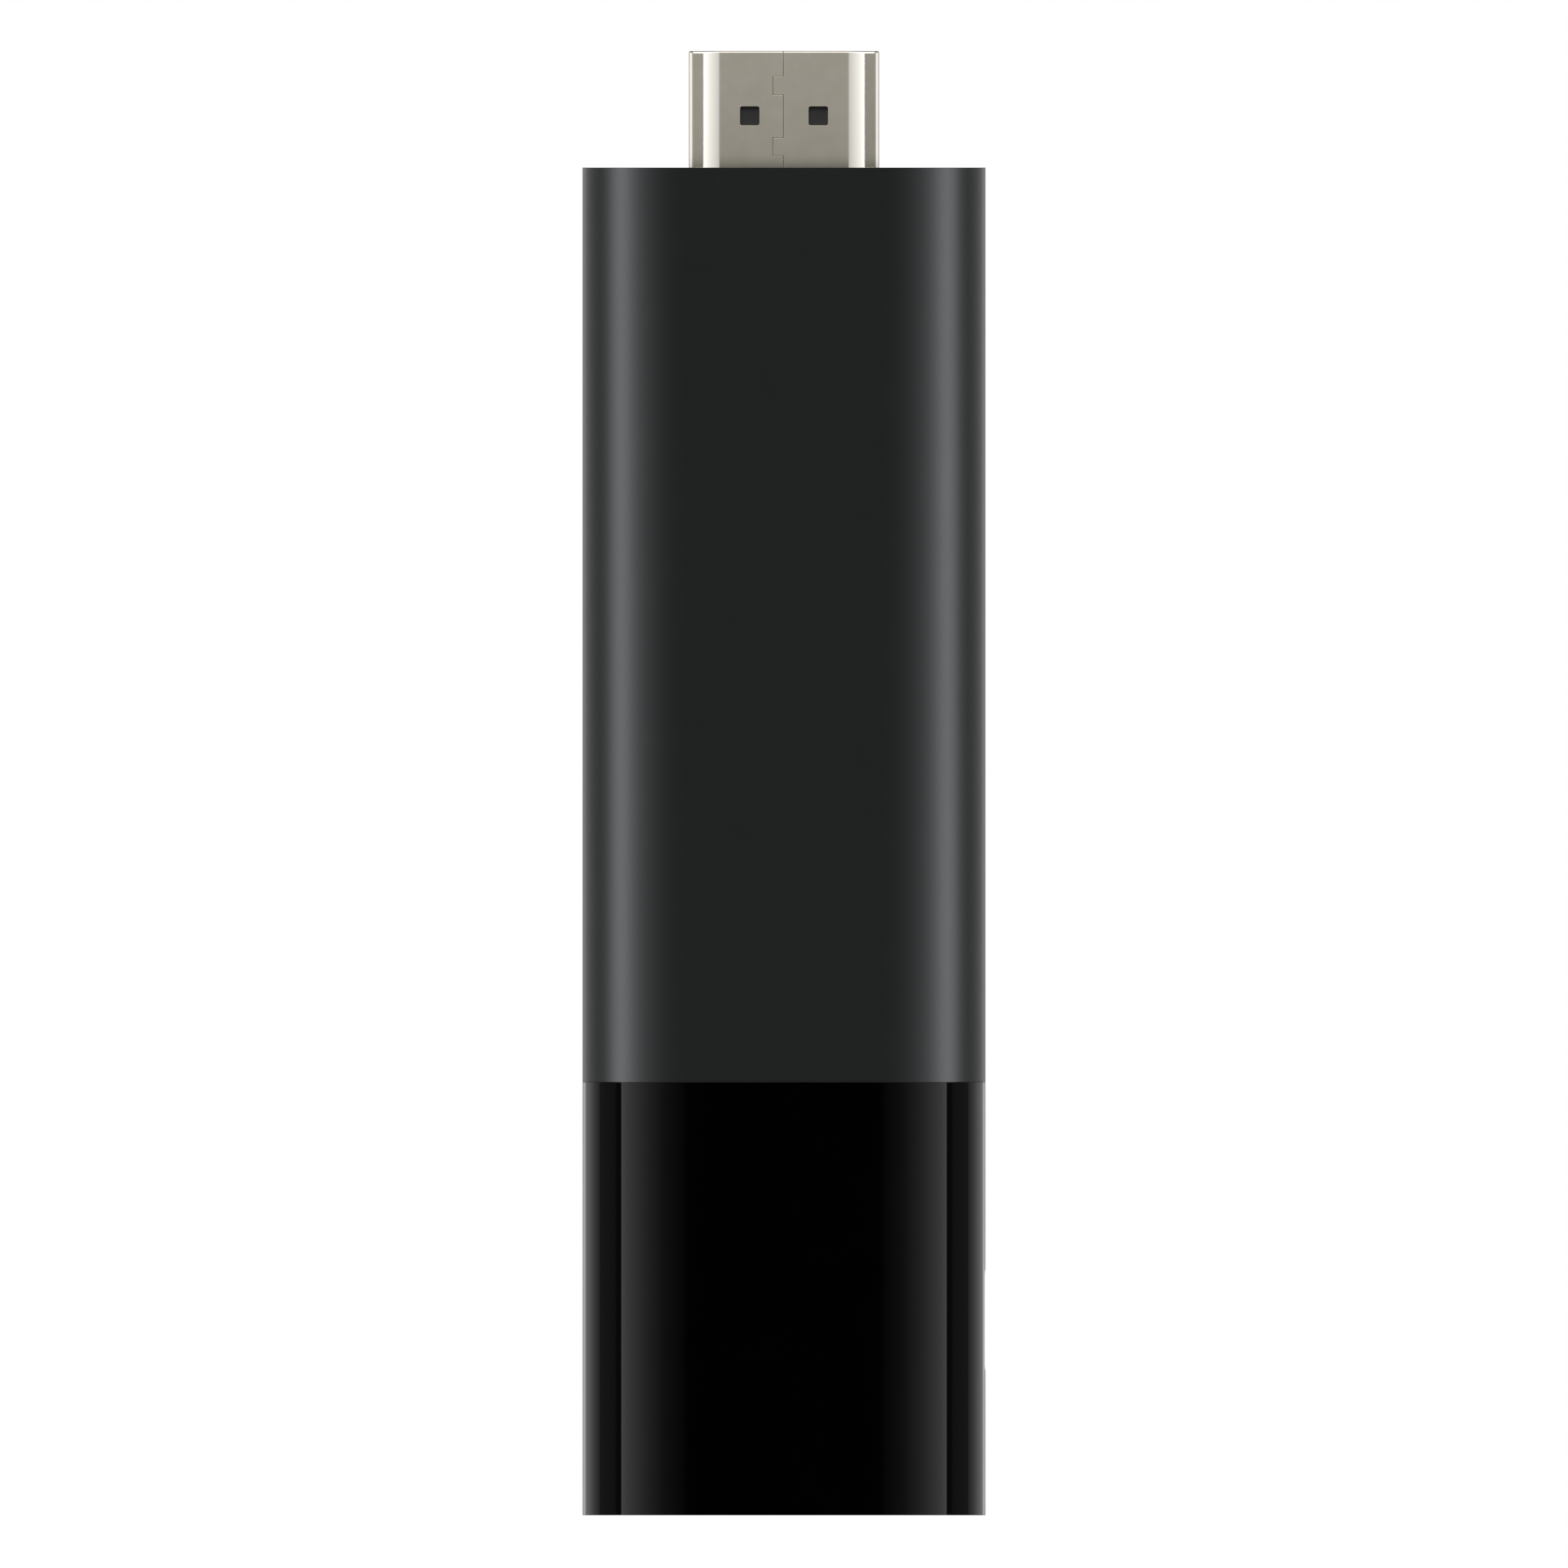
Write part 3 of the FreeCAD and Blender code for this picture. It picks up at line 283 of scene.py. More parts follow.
def fill_between(bm, outer, inner):
    """A flat face with a hole in it."""
    verts = outer + inner
    loops = [[vert.co for vert in outer], [vert.co for vert in inner]]
    for corners in tessellate_polygon(loops):
        bm.faces.new([verts[corner] for corner in corners])


def finish_mesh(bm, name, node, slot):
    """The object of a built mesh, smooth but for its true edges, in a node's place."""
    bmesh.ops.recalc_face_normals(bm, faces=bm.faces)
    mesh = bpy.data.meshes.new(name)
    bm.to_mesh(mesh)
    bm.free()
    mesh.shade_smooth()
    mesh.set_sharp_from_angle(angle=SHARP_ANGLE)
    piece = bpy.data.objects.new(name, mesh)
    bpy.context.scene.collection.objects.link(piece)
    shade_evenly(piece)
    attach(piece, "root")
    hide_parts(node)
    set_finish(piece, slot)
    return piece


def shade_evenly(piece):
    """Shade by the larger faces, so that a flat stays flat up to its narrow rounded edge.

    The modifier leaves faces of under about 0.5 square millimetres out, so it works on the mesh
    while that is a thousand times as large.
    """
    small, name = piece.data, piece.data.name
    small.transform(Matrix.Scale(1 / MM, 4))
    even = piece.modifiers.new("even_shading", "WEIGHTED_NORMAL")
    even.keep_sharp = True
    depsgraph = bpy.context.evaluated_depsgraph_get()
    shaded = bpy.data.meshes.new_from_object(piece.evaluated_get(depsgraph))
    piece.modifiers.clear()
    piece.data = shaded
    bpy.data.meshes.remove(small)
    shaded.transform(Matrix.Scale(MM, 4))
    shaded.name = name


def even_steps(low, high, steps):
    """Both ends of a range and the even steps between them."""
    return [low + (high - low) * step / steps for step in range(steps + 1)]


def in_order(*groups):
    """The lines of a grid in order, each place once."""
    lines = []
    for value in sorted(value for group in groups for value in group):
        if not lines or value - lines[-1] > SAME_LINE:
            lines.append(value)
    return lines


class Hole:
    """A rounded opening in a flat sheet, with a rectangle of the sheet's grid round it."""

    def __init__(self, middle, half_size, corner, margin, rounding):
        self.middle = Vector(middle)
        self.half_size = Vector(half_size)
        self.corner = corner
        self.reach = self.half_size + Vector((margin, margin))
        self.rounding = rounding

    def lines(self, axis, steps):
        """Lines of the grid across the rectangle."""
        middle, reach = self.middle[axis], self.reach[axis]
        return even_steps(middle - reach, middle + reach, steps)

    def line_numbers(self, axis, lines):
        """Which of a grid's lines cross the rectangle or bound it."""
        limit = self.reach[axis] + SAME_LINE
        return [n for n, value in enumerate(lines) if abs(value - self.middle[axis]) < limit]

    def covers(self, x, y):
        """Whether a place lies in the rectangle."""
        off = Vector((x, y)) - self.middle
        return abs(off.x) < self.reach.x and abs(off.y) < self.reach.y

    def rim_point(self, place, offset):
        """The rim's point that is nearest to a place, moved outwards by an offset."""
        off = place - self.middle
        core = Vector([
            max(self.corner - half, min(half - self.corner, value))
            for half, value in zip(self.half_size, off)
        ])
        return self.middle + core + (off - core).normalized() * (self.corner + offset)


class Sheet:
    """A flat sheet with a face and a back, cut from a grid and then bent.

    X is the distance along the sheet, Y the height up it and Z the depth below its face. Where
    gone says so, a cell is cut out, and in a closed sheet the last column meets the first.
    """

    def __init__(self, columns, rows, thickness, holes=(), gone=None, closed=False):
        self.bm = bmesh.new()
        self.columns = columns
        self.rows = rows
        self.thickness = thickness
        self.holes = holes
        self.gone = gone
        self.closed = closed
        self.width = len(columns) - 1
        self.verts = {}
        for column in range(self.width):
            for row in range(len(rows) - 1):
                if not self.empty(column, row):
                    self.make_cell(column, row)
        for hole in holes:
            self.make_hole(hole)

    def vert(self, column, row, layer):
        """A corner of the grid on the face, which is layer 0, or on the back, layer 1."""
        if self.closed:
            column %= self.width
        key = (column, row, layer)
        if key not in self.verts:
            place = (self.columns[column], self.rows[row], self.thickness * layer)
            self.verts[key] = self.bm.verts.new(place)
        return self.verts[key]

    def line(self, row, layer):
        """All corners of a closed sheet's grid along a row."""
        return [self.vert(column, row, layer) for column in range(self.width)]

    def middle(self, column, row):
        """The middle of a cell."""
        x = (self.columns[column] + self.columns[column + 1]) / 2
        return x, (self.rows[row] + self.rows[row + 1]) / 2

    def empty(self, column, row):
        """Whether a cell is outside the sheet, or cut out along the grid's lines."""
        if self.closed:
            column %= self.width
        if not (0 <= column < self.width and 0 <= row < len(self.rows) - 1):
            return True
        return self.gone is not None and self.gone(*self.middle(column, row))

    def make_cell(self, column, row):
        """A cell's face and back, and its edges where nothing lies beside it."""
        corners = [(column, row), (column + 1, row), (column + 1, row + 1), (column, row + 1)]
        if not any(hole.covers(*self.middle(column, row)) for hole in self.holes):
            self.bm.faces.new([self.vert(*corner, 0) for corner in corners])
            self.bm.faces.new([self.vert(*corner, 1) for corner in reversed(corners)])
        beside = [(column, row - 1), (column + 1, row), (column, row + 1), (column - 1, row)]
        for number, neighbour in enumerate(beside):
            if self.empty(*neighbour):
                first, second = corners[number], corners[(number + 1) % 4]
                self.bm.faces.new((
                    self.vert(*first, 0), self.vert(*first, 1),
                    self.vert(*second, 1), self.vert(*second, 0),
                ))

    def make_hole(self, hole):
        """Rings from the face's grid over the rounded rim and through to the back's grid."""
        across = hole.line_numbers(0, self.columns)
        up = hole.line_numbers(1, self.rows)
        keys = [(column, up[0]) for column in across[:-1]]
        keys += [(across[-1], row) for row in up[:-1]]
        keys += [(column, up[-1]) for column in reversed(across[1:])]
        keys += [(across[0], row) for row in reversed(up[1:])]
        grid = [self.vert(*key, 0) for key in keys]
        rings = [grid]
        rim = [(hole.rounding - out, down) for down, out in quarter_round(hole.rounding)]
        for offset, depth in rim + [(0.0, self.thickness)]:
            points = [hole.rim_point(vert.co.xy, offset) for vert in grid]
            rings.append([self.bm.verts.new((*point, depth)) for point in points])
        rings.append([self.vert(*key, 1) for key in keys])
        join_rings(self.bm, rings)

    def bend(self, place_at):
        """Move every point to where the bent sheet has it."""
        for vert in self.bm.verts:
            vert.co = place_at(*vert.co)


def make_sleeve():
    """The matte sleeve: a closed skin with a rounded top edge and the plug's opening."""
    bm = bmesh.new()
    pill, plug = pill_path(), plug_path()
    roof = BODY_TOP - SLEEVE_ROOF
    side = [(inset, SPLIT + up) for up, inset in quarter_round(JOINT_ROUND)]
    side += [(inset, BODY_TOP - down) for inset, down in quarter_round(END_ROUND)]
    outside = sweep(bm, pill, side)
    rim = [(-OPENING_GAP - out, BODY_TOP - down) for down, out in quarter_round(OPENING_ROUND)]
    opening = sweep(bm, plug, rim + [(-OPENING_GAP, roof)])
    inside = sweep(bm, pill, [(WALL, roof), (WALL, SPLIT)])
    fill_between(bm, outside[-1], opening[0])
    fill_between(bm, inside[0], opening[-1])
    join_rings(bm, [inside[-1], outside[0]])
    return finish_mesh(bm, "matte_sleeve", "sleeve", "sleeve_plastic")


def charging_port(pill):
    """The opening for the charging plug, placed on the wall while that is flat."""
    half_height = HALF_THICK * math.asin(PORT_HALF_HEIGHT / HALF_THICK)
    return Hole(
        (pill.length / 4, PORT_PLACE), (half_height, PORT_HALF_LENGTH),
        PORT_CORNER, PORT_MARGIN, PORT_ROUND,
    )


def make_end_cap():
    """The gloss cap: a wall bent round the housing's outline, its flat end and its collar."""
    pill = pill_path()
    port = charging_port(pill)
    clear = [place for place in pill.marks if abs(place - port.middle.x) > port.reach.x]
    columns = in_order(clear, port.lines(0, PORT_COLUMNS))
    low, high = END_ROUND, SPLIT - JOINT_ROUND
    rows = in_order((low, CAP_FLOOR, high), port.lines(1, PORT_ROWS))
    sheet = Sheet(columns, rows, WALL, holes=(port,), closed=True)
    bm = sheet.bm
    foot, top = sheet.line(0, 0), sheet.line(len(rows) - 1, 0)
    inner_foot, inner_top = sheet.line(rows.index(CAP_FLOOR), 1), sheet.line(len(rows) - 1, 1)

    def spare(face):
        """Whether a face is an end of the flat wall, or inside it and within the cap's floor."""
        heights = [vert.co.y for vert in face.verts]
        level = max(heights) - min(heights) < SAME_PLACE
        inside = min(vert.co.z for vert in face.verts) > WALL / 2
        return level or (inside and max(heights) < CAP_FLOOR + SAME_PLACE)

    bmesh.ops.delete(bm, geom=[face for face in bm.faces if spare(face)], context="FACES")

    def bent(x, y, depth):
        """Round the outline, but straight through the wall at the charging port."""
        surface = pill.at(x)
        at_port = surface.x > 0 and abs(surface.y) < PORT_HALF_HEIGHT + SAME_PLACE
        if not at_port:
            return *pill.at(x, depth), y
        across = math.sqrt((HALF_THICK - depth) ** 2 - surface.y ** 2)
        return HALF_WIDTH - HALF_THICK + across, surface.y, y

    sheet.bend(bent)
    places = columns[:-1]
    end = [ring(bm, pill, inset, up, places) for inset, up in quarter_round(END_ROUND)[1:]]
    join_rings(bm, [foot] + end)
    bm.faces.new(end[-1])
    bm.faces.new(inner_foot)
    joint = quarter_round(JOINT_ROUND)[1:]
    edge = [ring(bm, pill, inset, SPLIT - down, places) for inset, down in joint]
    join_rings(bm, [top] + edge + [inner_top])
    add_collar(bm, pill)
    return finish_mesh(bm, "gloss_end_cap", "end_cap", "cap_plastic")


def add_collar(bm, pill):
    """The collar that the sleeve slides over."""
    outer = WALL + COLLAR_GAP
    inner = outer + COLLAR_WALL
    stations = [(outer, COLLAR_LOW), (outer, COLLAR_HIGH), (inner, COLLAR_HIGH), (inner, COLLAR_LOW)]
    rings = sweep(bm, pill, stations)
    join_rings(bm, [rings[-1], rings[0]])


def plug_windows(plug):
    """The spring windows, two on the plug's front and two on its back."""
    off = WINDOW_OFF_MIDDLE
    back = plug.length / 2
    return [
        Hole(
            (place, PLUG_TIP - WINDOW_FROM_TIP), (WINDOW_HALF_WIDTH, WINDOW_HALF_LENGTH),
            WINDOW_CORNER, WINDOW_MARGIN, WINDOW_ROUND,
        )
        for place in (off, back - off, back + off, plug.length - off)
    ]


def seam_tabs():
    """How low and how high each tab of the seam reaches."""
    middles = [PLUG_TIP - down for down in TABS_FROM_TIP]
    return [(middle - TAB_WIDTH / 2, middle + TAB_WIDTH / 2) for middle in middles]


def make_plug_shell():
    """The folded plug shell: a sheet with four windows, bent round to a seam with two tabs."""
    plug = plug_path()
    windows, tabs = plug_windows(plug), seam_tabs()
    joint = SEAM_JOINT_GAP / 2
    seam_right = SEAM_GAP / 2 - SEAM_OFF_MIDDLE
    seam_left = plug.length - SEAM_GAP / 2 - SEAM_OFF_MIDDLE
    leg_top = PLUG_FOOT + LEG_LENGTH
    legs = [plug.right_side, plug.length - plug.right_side]
    tab_end, cut_end = seam_right - TAB_DEPTH, seam_left - TAB_DEPTH
    columns = in_order(
        (tab_end, seam_right, cut_end, seam_left),
        plug.marks[1:-1],
        *[window.lines(0, WINDOW_STEPS) for window in windows],
        *[(leg - LEG_WIDTH / 2, leg + LEG_WIDTH / 2) for leg in legs],
    )
    rows = in_order(
        (PLUG_FOOT, leg_top),
        windows[0].lines(1, WINDOW_STEPS),
        [PLUG_TIP - down for _, down in quarter_round(RIM_ROUND)],
        *[(edge - joint, edge + joint) for tab in tabs for edge in tab],
    )

    def gone(x, y):
        """Whether a place is beside the legs, or beyond one of the seam's two edges."""
        if y < leg_top:
            return all(abs(x - leg) > LEG_WIDTH / 2 for leg in legs)
        if x < seam_right:
            return not any(low + joint < y < high - joint for low, high in tabs)
        if x > cut_end:
            return any(low - joint < y < high + joint for low, high in tabs)
        return False

    def bent(x, y, depth):
        """Round the outline, with a rounded rim and with the seam's edges leaning inwards."""
        rise = y - (PLUG_TIP - RIM_ROUND)
        if rise > 0:
            drop = RIM_ROUND - math.sqrt(max(0.0, RIM_ROUND ** 2 - rise ** 2))
            depth += drop * (1 - depth / PLUG_SHEET)
        lean = SEAM_LEAN * depth / PLUG_SHEET
        if x < seam_right + SAME_PLACE:
            x -= lean
        elif x > cut_end - SAME_PLACE:
            x += lean
        return *plug.at(x, depth), y

    sheet = Sheet(columns, rows, PLUG_SHEET, holes=windows, gone=gone)
    round_seam(sheet.bm, plug.length, leg_top)
    sheet.bend(bent)
    return finish_mesh(sheet.bm, "folded_plug_shell", "plug_shell", "plug_steel")


def round_seam(bm, length, leg_top):
    """Round the face's edges along the seam and its tabs, while the sheet is flat."""
    cuts_reach = TAB_DEPTH + SEAM_GAP * 2
    steep = 0.5

    def on_seam(edge):
        """Whether an edge of the face runs along the seam."""
        xs = [vert.co.x for vert in edge.verts]
        ys = [vert.co.y for vert in edge.verts]
        beside = max(xs) < TAB_DEPTH or min(xs) > length - cuts_reach
        on_face = all(abs(vert.co.z) < SAME_PLACE for vert in edge.verts)
        between_ends = min(ys) < PLUG_TIP - SAME_PLACE and max(ys) > leg_top + SAME_PLACE
        cut = any(abs(face.normal.z) < steep for face in edge.link_faces)
        return beside and on_face and between_ends and cut

    bm.normal_update()
    bmesh.ops.bevel(
        bm, geom=[edge for edge in bm.edges if on_seam(edge)], offset=SEAM_ROUND,
        segments=2, profile=0.5, affect="EDGES", clamp_overlap=True,
    )


# What a material's settings are called on the shader
SOCKETS = {
    "metallic": "Metallic",
    "ior": "IOR",
    "gloss_tint": "Specular Tint",
    "coat": "Coat Weight",
    "coat_roughness": "Coat Roughness",
}


class Finish:
    """A node material in the making. The sizes of its features are in metres."""

    def __init__(self, slot, **settings):
        self.material = bpy.data.materials.new(slot)
        self.material.use_nodes = True
        self.tree = self.material.node_tree
        self.shader = self.tree.nodes["Principled BSDF"]
        coordinates = self.node("ShaderNodeTexCoord").outputs
        self.place = coordinates["Object"]
        self.facing = coordinates["Normal"]
        self.normal = None
        for name, value in settings.items():
            self.shader.inputs[SOCKETS[name]].default_value = value

    def node(self, kind, **settings):
        """A new node with some of its own settings."""
        made = self.tree.nodes.new(kind)
        for name, value in settings.items():
            setattr(made, name, value)
        return made

    def join(self, source, target):
        """Lead a node's output into an input."""
        self.tree.links.new(source, target)

    def scaled(self, size, stretch=(1, 1, 1), turn=(0, 0, 0)):
        """Places on the object, counted in features of a size, longer where stretched."""
        mapping = self.node("ShaderNodeMapping")
        mapping.inputs["Scale"].default_value = [1 / (size * share) for share in stretch]
        mapping.inputs["Rotation"].default_value = turn
        self.join(self.place, mapping.inputs["Vector"])
        return mapping.outputs["Vector"]

    def grain(self, size, detail=2, stretch=(1, 1, 1)):
        """Soft random variation about one half."""
        noise = self.node("ShaderNodeTexNoise")
        noise.inputs["Scale"].default_value = 1
        noise.inputs["Detail"].default_value = detail
        self.join(self.scaled(size, stretch), noise.inputs["Vector"])
        return noise.outputs["Fac"]

    def cells(self, size):
        """The distance to the nearest of many points, scattered about a size apart."""
        cells = self.node("ShaderNodeTexVoronoi")
        cells.inputs["Scale"].default_value = 1
        self.join(self.scaled(size), cells.inputs["Vector"])
        return cells.outputs["Distance"]

    def z(self):
        """The height of each place on the object."""
        split = self.node("ShaderNodeSeparateXYZ")
        self.join(self.place, split.inputs[0])
        return split.outputs["Z"]

    def near_height(self, height, reach):
        """One at a height and below it, and falling as a square to zero over a reach above."""
        fall = self.spread(self.z(), 1, 0, height, height + reach)
        square = self.node("ShaderNodeMath", operation="POWER")
        self.join(fall, square.inputs[0])
        square.inputs[1].default_value = 2.0
        return square.outputs[0]

    def turned_sideways(self, least, most):
        """One where the surface is turned to either side by angles between two, zero elsewhere."""
        split = self.node("ShaderNodeSeparateXYZ")
        self.join(self.facing, split.inputs[0])
        sideways = self.node("ShaderNodeMath", operation="ABSOLUTE")
        self.join(split.outputs["X"], sideways.inputs[0])
        within = self.node("ShaderNodeMath", operation="COMPARE")
        self.join(sideways.outputs[0], within.inputs[0])
        within.inputs[1].default_value = (math.sin(most) + math.sin(least)) / 2
        within.inputs[2].default_value = (math.sin(most) - math.sin(least)) / 2
        return within.outputs[0]

    def spread(self, amount, low, high, start=0.3, end=0.7):
        """A number that goes from low to high as an amount goes from start to end.

        Without a start and an end, it is for grain, which mostly lies between 0.3 and 0.7.
        """
        spread = self.node("ShaderNodeMapRange")
        limits = {"From Min": start, "From Max": end, "To Min": low, "To Max": high}
        for name, value in limits.items():
            spread.inputs[name].default_value = value
        self.join(amount, spread.inputs["Value"])
        return spread.outputs["Result"]

    def mix(self, share, first, second):
        """A colour between two, which are colours or other nodes' outputs."""
        mix = self.node("ShaderNodeMix", data_type="RGBA")
        colours_in, colour_out = mix.inputs[6:8], mix.outputs[2]
        for socket, colour in zip(colours_in, (first, second)):
            if isinstance(colour, tuple):
                socket.default_value = (*colour, 1)
            else:
                self.join(colour, socket)
        self.join(share, mix.inputs[0])
        return colour_out

    def vary_colour(self, amount, first, second):
        """Let the colour follow an amount."""
        colour = self.mix(self.spread(amount, 0, 1), first, second)
        self.join(colour, self.shader.inputs["Base Color"])

    def vary_roughness(self, amount, low, high):
        """Let the roughness follow an amount."""
        self.join(self.spread(amount, low, high), self.shader.inputs["Roughness"])

    def bump(self, height, distance):
        """Relief on top of what was added before."""
        bump = self.node("ShaderNodeBump")
        bump.inputs["Distance"].default_value = distance
        self.join(height, bump.inputs["Height"])
        if self.normal:
            self.join(self.normal, bump.inputs["Normal"])
        self.normal = bump.outputs["Normal"]
        self.join(self.normal, self.shader.inputs["Normal"])


def sleeve_plastic(slot):
    """Satin dark grey plastic with a very fine moulded texture."""
    finish = Finish(slot, ior=1.63, gloss_tint=(0.94, 0.96, 1.0, 1.0))
    fine = finish.grain(0.11 * MM)
    finish.vary_colour(finish.grain(4 * MM), (0.0025, 0.0037, 0.0030), (0.0033, 0.0045, 0.0038))
    finish.vary_roughness(fine, 0.33, 0.36)
    finish.bump(fine, 0.0015 * MM)
    return finish.material


def cap_plastic(slot):
    """High-gloss black plastic with a trace of unevenness in its polish."""
    finish = Finish(slot, ior=1.45)
    soft = finish.grain(3 * MM)
    finish.vary_colour(soft, (0.0002, 0.0002, 0.0002), (0.0004, 0.0004, 0.0004))
    finish.vary_roughness(finish.grain(0.4 * MM, 4), 0.02, 0.04)
    finish.bump(soft, 0.0004 * MM)
    return finish.material


def plug_steel(slot):
    """Satin nickel plate, paler at the bends as a painted highlight, darker by the sleeve as painted
    shade, and dark on the cut edge, partly as painted shade.
    """
    finish = Finish(slot, metallic=0.67)
    rolled = finish.grain(0.03 * MM, 3, (1, 1, 12))
    cloudy = finish.spread(finish.grain(1.2 * MM, 3), 0, 1)
    plate = finish.mix(cloudy, (0.90, 0.84, 0.70), (0.96, 0.90, 0.76))
    # Painted shade: the plate gets darker towards the sleeve, over a short reach above it
    foot = finish.near_height(BODY_TOP, PAINTED_FOOT_SHADE)
    plate = finish.mix(foot, plate, (0.48, 0.45, 0.37))
    # Painted highlight: a paler colour where the surface turns sideways between shoulder and bevel,
    # so its highlight comes out whiter
    bends = finish.turned_sideways(PAINTED_HIGHLIGHT_FROM, PAINTED_HIGHLIGHT_TO)
    plate = finish.mix(bends, plate, (0.98, 0.955, 0.87))
    # The bare cut edge along the rim, darkened further as painted shade that dims the rim's
    # highlight
    cut_edge_shade = finish.spread(finish.z(), 0, 1, PLUG_TIP - SHADED_CUT_EDGE, PLUG_TIP - SHADED_CUT_EDGE / 2)
    plate = finish.mix(cut_edge_shade, plate, (0.20, 0.20, 0.195))
    finish.join(plate, finish.shader.inputs["Base Color"])
    finish.vary_roughness(rolled, 0.03, 0.06)
    finish.bump(rolled, 0.0002 * MM)
    return finish.material


def circuit_board(slot):
    """Green solder mask over raised traces, with bare gold dots where the layers join."""
    finish = Finish(slot, coat=0.3, coat_roughness=0.15)
    traces = finish.node("ShaderNodeTexBrick", offset=0.37)
    traces.inputs["Scale"].default_value = 1
    traces.inputs["Mortar Size"].default_value = 0.09
    traces.inputs["Color1"].default_value = (0.010, 0.085, 0.045, 1)
    traces.inputs["Color2"].default_value = (0.012, 0.095, 0.052, 1)
    traces.inputs["Mortar"].default_value = (0.020, 0.150, 0.080, 1)
    finish.join(finish.scaled(1.4 * MM, turn=(QUARTER_TURN, 0, 0)), traces.inputs["Vector"])
    dots = finish.spread(finish.cells(1.6 * MM), 1, 0, 0.10, 0.13)
    colour = finish.mix(dots, traces.outputs["Color"], (0.80, 0.58, 0.24))
    finish.join(colour, finish.shader.inputs["Base Color"])
    finish.join(dots, finish.shader.inputs["Metallic"])
    finish.vary_roughness(finish.grain(0.5 * MM), 0.3, 0.42)
    finish.bump(traces.outputs["Fac"], 0.02 * MM)
    return finish.material


def cast_aluminium(slot):
    """As-cast alloy: dull, a little blotchy, with shallow flow marks and pits."""
    finish = Finish(slot, metallic=0.9)
    flow = finish.grain(1.5 * MM, 5, (1, 1, 2))
    finish.vary_colour(flow, (0.52, 0.52, 0.53), (0.64, 0.64, 0.65))
    finish.vary_roughness(flow, 0.42, 0.58)
    finish.bump(flow, 0.03 * MM)
    finish.bump(finish.cells(0.35 * MM), 0.008 * MM)
    return finish.material


def moulded(slot, dark, light, roughness, size, relief):
    """Moulded, fired or cast material with a speckled, slightly uneven face."""
    finish = Finish(slot)
    speckle = finish.grain(size, 4)
    finish.vary_colour(speckle, dark, light)
    finish.vary_roughness(finish.grain(size * 6), *roughness)
    finish.bump(speckle, relief)
    return finish.material


def plated(slot, dark, light, roughness, size, relief):
    """Plated sheet metal, a little cloudy in colour and finely grained."""
    finish = Finish(slot, metallic=1.0)
    rolled = finish.grain(size, 3, (1, 1, 5))
    finish.vary_colour(finish.grain(0.8 * MM, 3), dark, light)
    finish.vary_roughness(rolled, *roughness)
    finish.bump(rolled, relief)
    return finish.material


# Each plain slot's kind, darkest and lightest colour, range of roughness, grain and relief
PLAIN_FINISHES = {
    "black_insulator": (moulded, (0.017,) * 3, (0.022,) * 3, (0.42, 0.52), 0.08 * MM, 0.002 * MM),
    "chip_mould": (moulded, (0.014,) * 3, (0.026,) * 3, (0.48, 0.60), 0.06 * MM, 0.003 * MM),
    "ferrite": (moulded, (0.045,) * 3, (0.080,) * 3, (0.50, 0.70), 0.12 * MM, 0.006 * MM),
    "ceramic_tan": (
        moulded, (0.27, 0.18, 0.10), (0.38, 0.27, 0.16), (0.35, 0.50), 0.10 * MM, 0.004 * MM
    ),
    "heat_pad": (
        moulded, (0.27, 0.33, 0.39), (0.37, 0.43, 0.49), (0.60, 0.75), 0.15 * MM, 0.010 * MM
    ),
    "carrier_plastic": (moulded, (0.035,) * 3, (0.060,) * 3, (0.40, 0.52), 0.10 * MM, 0.003 * MM),
    "contact_gold": (
        plated, (0.78, 0.54, 0.22), (0.88, 0.66, 0.32), (0.18, 0.30), 0.05 * MM, 0.0006 * MM
    ),
    "shield_steel": (
        plated, (0.54, 0.54, 0.52), (0.66, 0.66, 0.64), (0.25, 0.40), 0.08 * MM, 0.001 * MM
    ),
    "screw_steel": (plated, (0.26,) * 3, (0.36,) * 3, (0.25, 0.42), 0.05 * MM, 0.001 * MM),
    "antenna_bronze": (
        plated, (0.64, 0.49, 0.30), (0.76, 0.61, 0.40), (0.25, 0.38), 0.06 * MM, 0.0008 * MM
    ),
    "socket_steel": (
        plated, (0.50, 0.50, 0.49), (0.62, 0.62, 0.60), (0.20, 0.34), 0.06 * MM, 0.0008 * MM
    ),
}


def dress(pieces):
    """Give every piece and every node of the model the material of its slot."""
    special = (sleeve_plastic, cap_plastic, plug_steel, circuit_board, cast_aluminium)
    materials = {make.__name__: make(make.__name__) for make in special}
    for slot, (make, *settings) in PLAIN_FINISHES.items():
        materials[slot] = make(slot, *settings)
    for piece in pieces:
        piece.data.materials.append(materials[piece["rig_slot"]])
    slots = {part["node"]: part["material_slot"] for part in frame["record"]["subparts"]}
    for name, node in frame["nodes"].items():
        for place in node.material_slots:
            place.material = materials[slots[name]]


# How bright the surroundings are that glossy surfaces mirror, by the angle in degrees round
# from the camera's side of the object to its far side: on a level with the object, a little
# above and below that, and high overhead and far below
LEVEL_WITH_IT = (
    (0, 0.0), (6, 0.05), (15, 0.09), (25, 0.13), (33, 0.235), (41, 0.34), (50, 0.53), (59, 0.75),
    (70, 1.05), (78, 1.4), (78.5, 0.06), (85, 0.06), (88, 0.13), (113, 0.13), (115, 0.29),
    (124, 0.42), (134, 0.6), (150, 0.62), (154, 1.1), (160, 1.1), (168, 0.5), (180, 0.3),
)
ABOVE_AND_BELOW = (
    (0, 0.15), (20, 0.17), (30, 0.26), (45, 0.55), (60, 0.9), (68, 2.2), (75, 4.9), (80, 6.6),
    (86, 6.3), (90, 3.3), (95, 0.4), (100, 0.12), (180, 0.12),
)
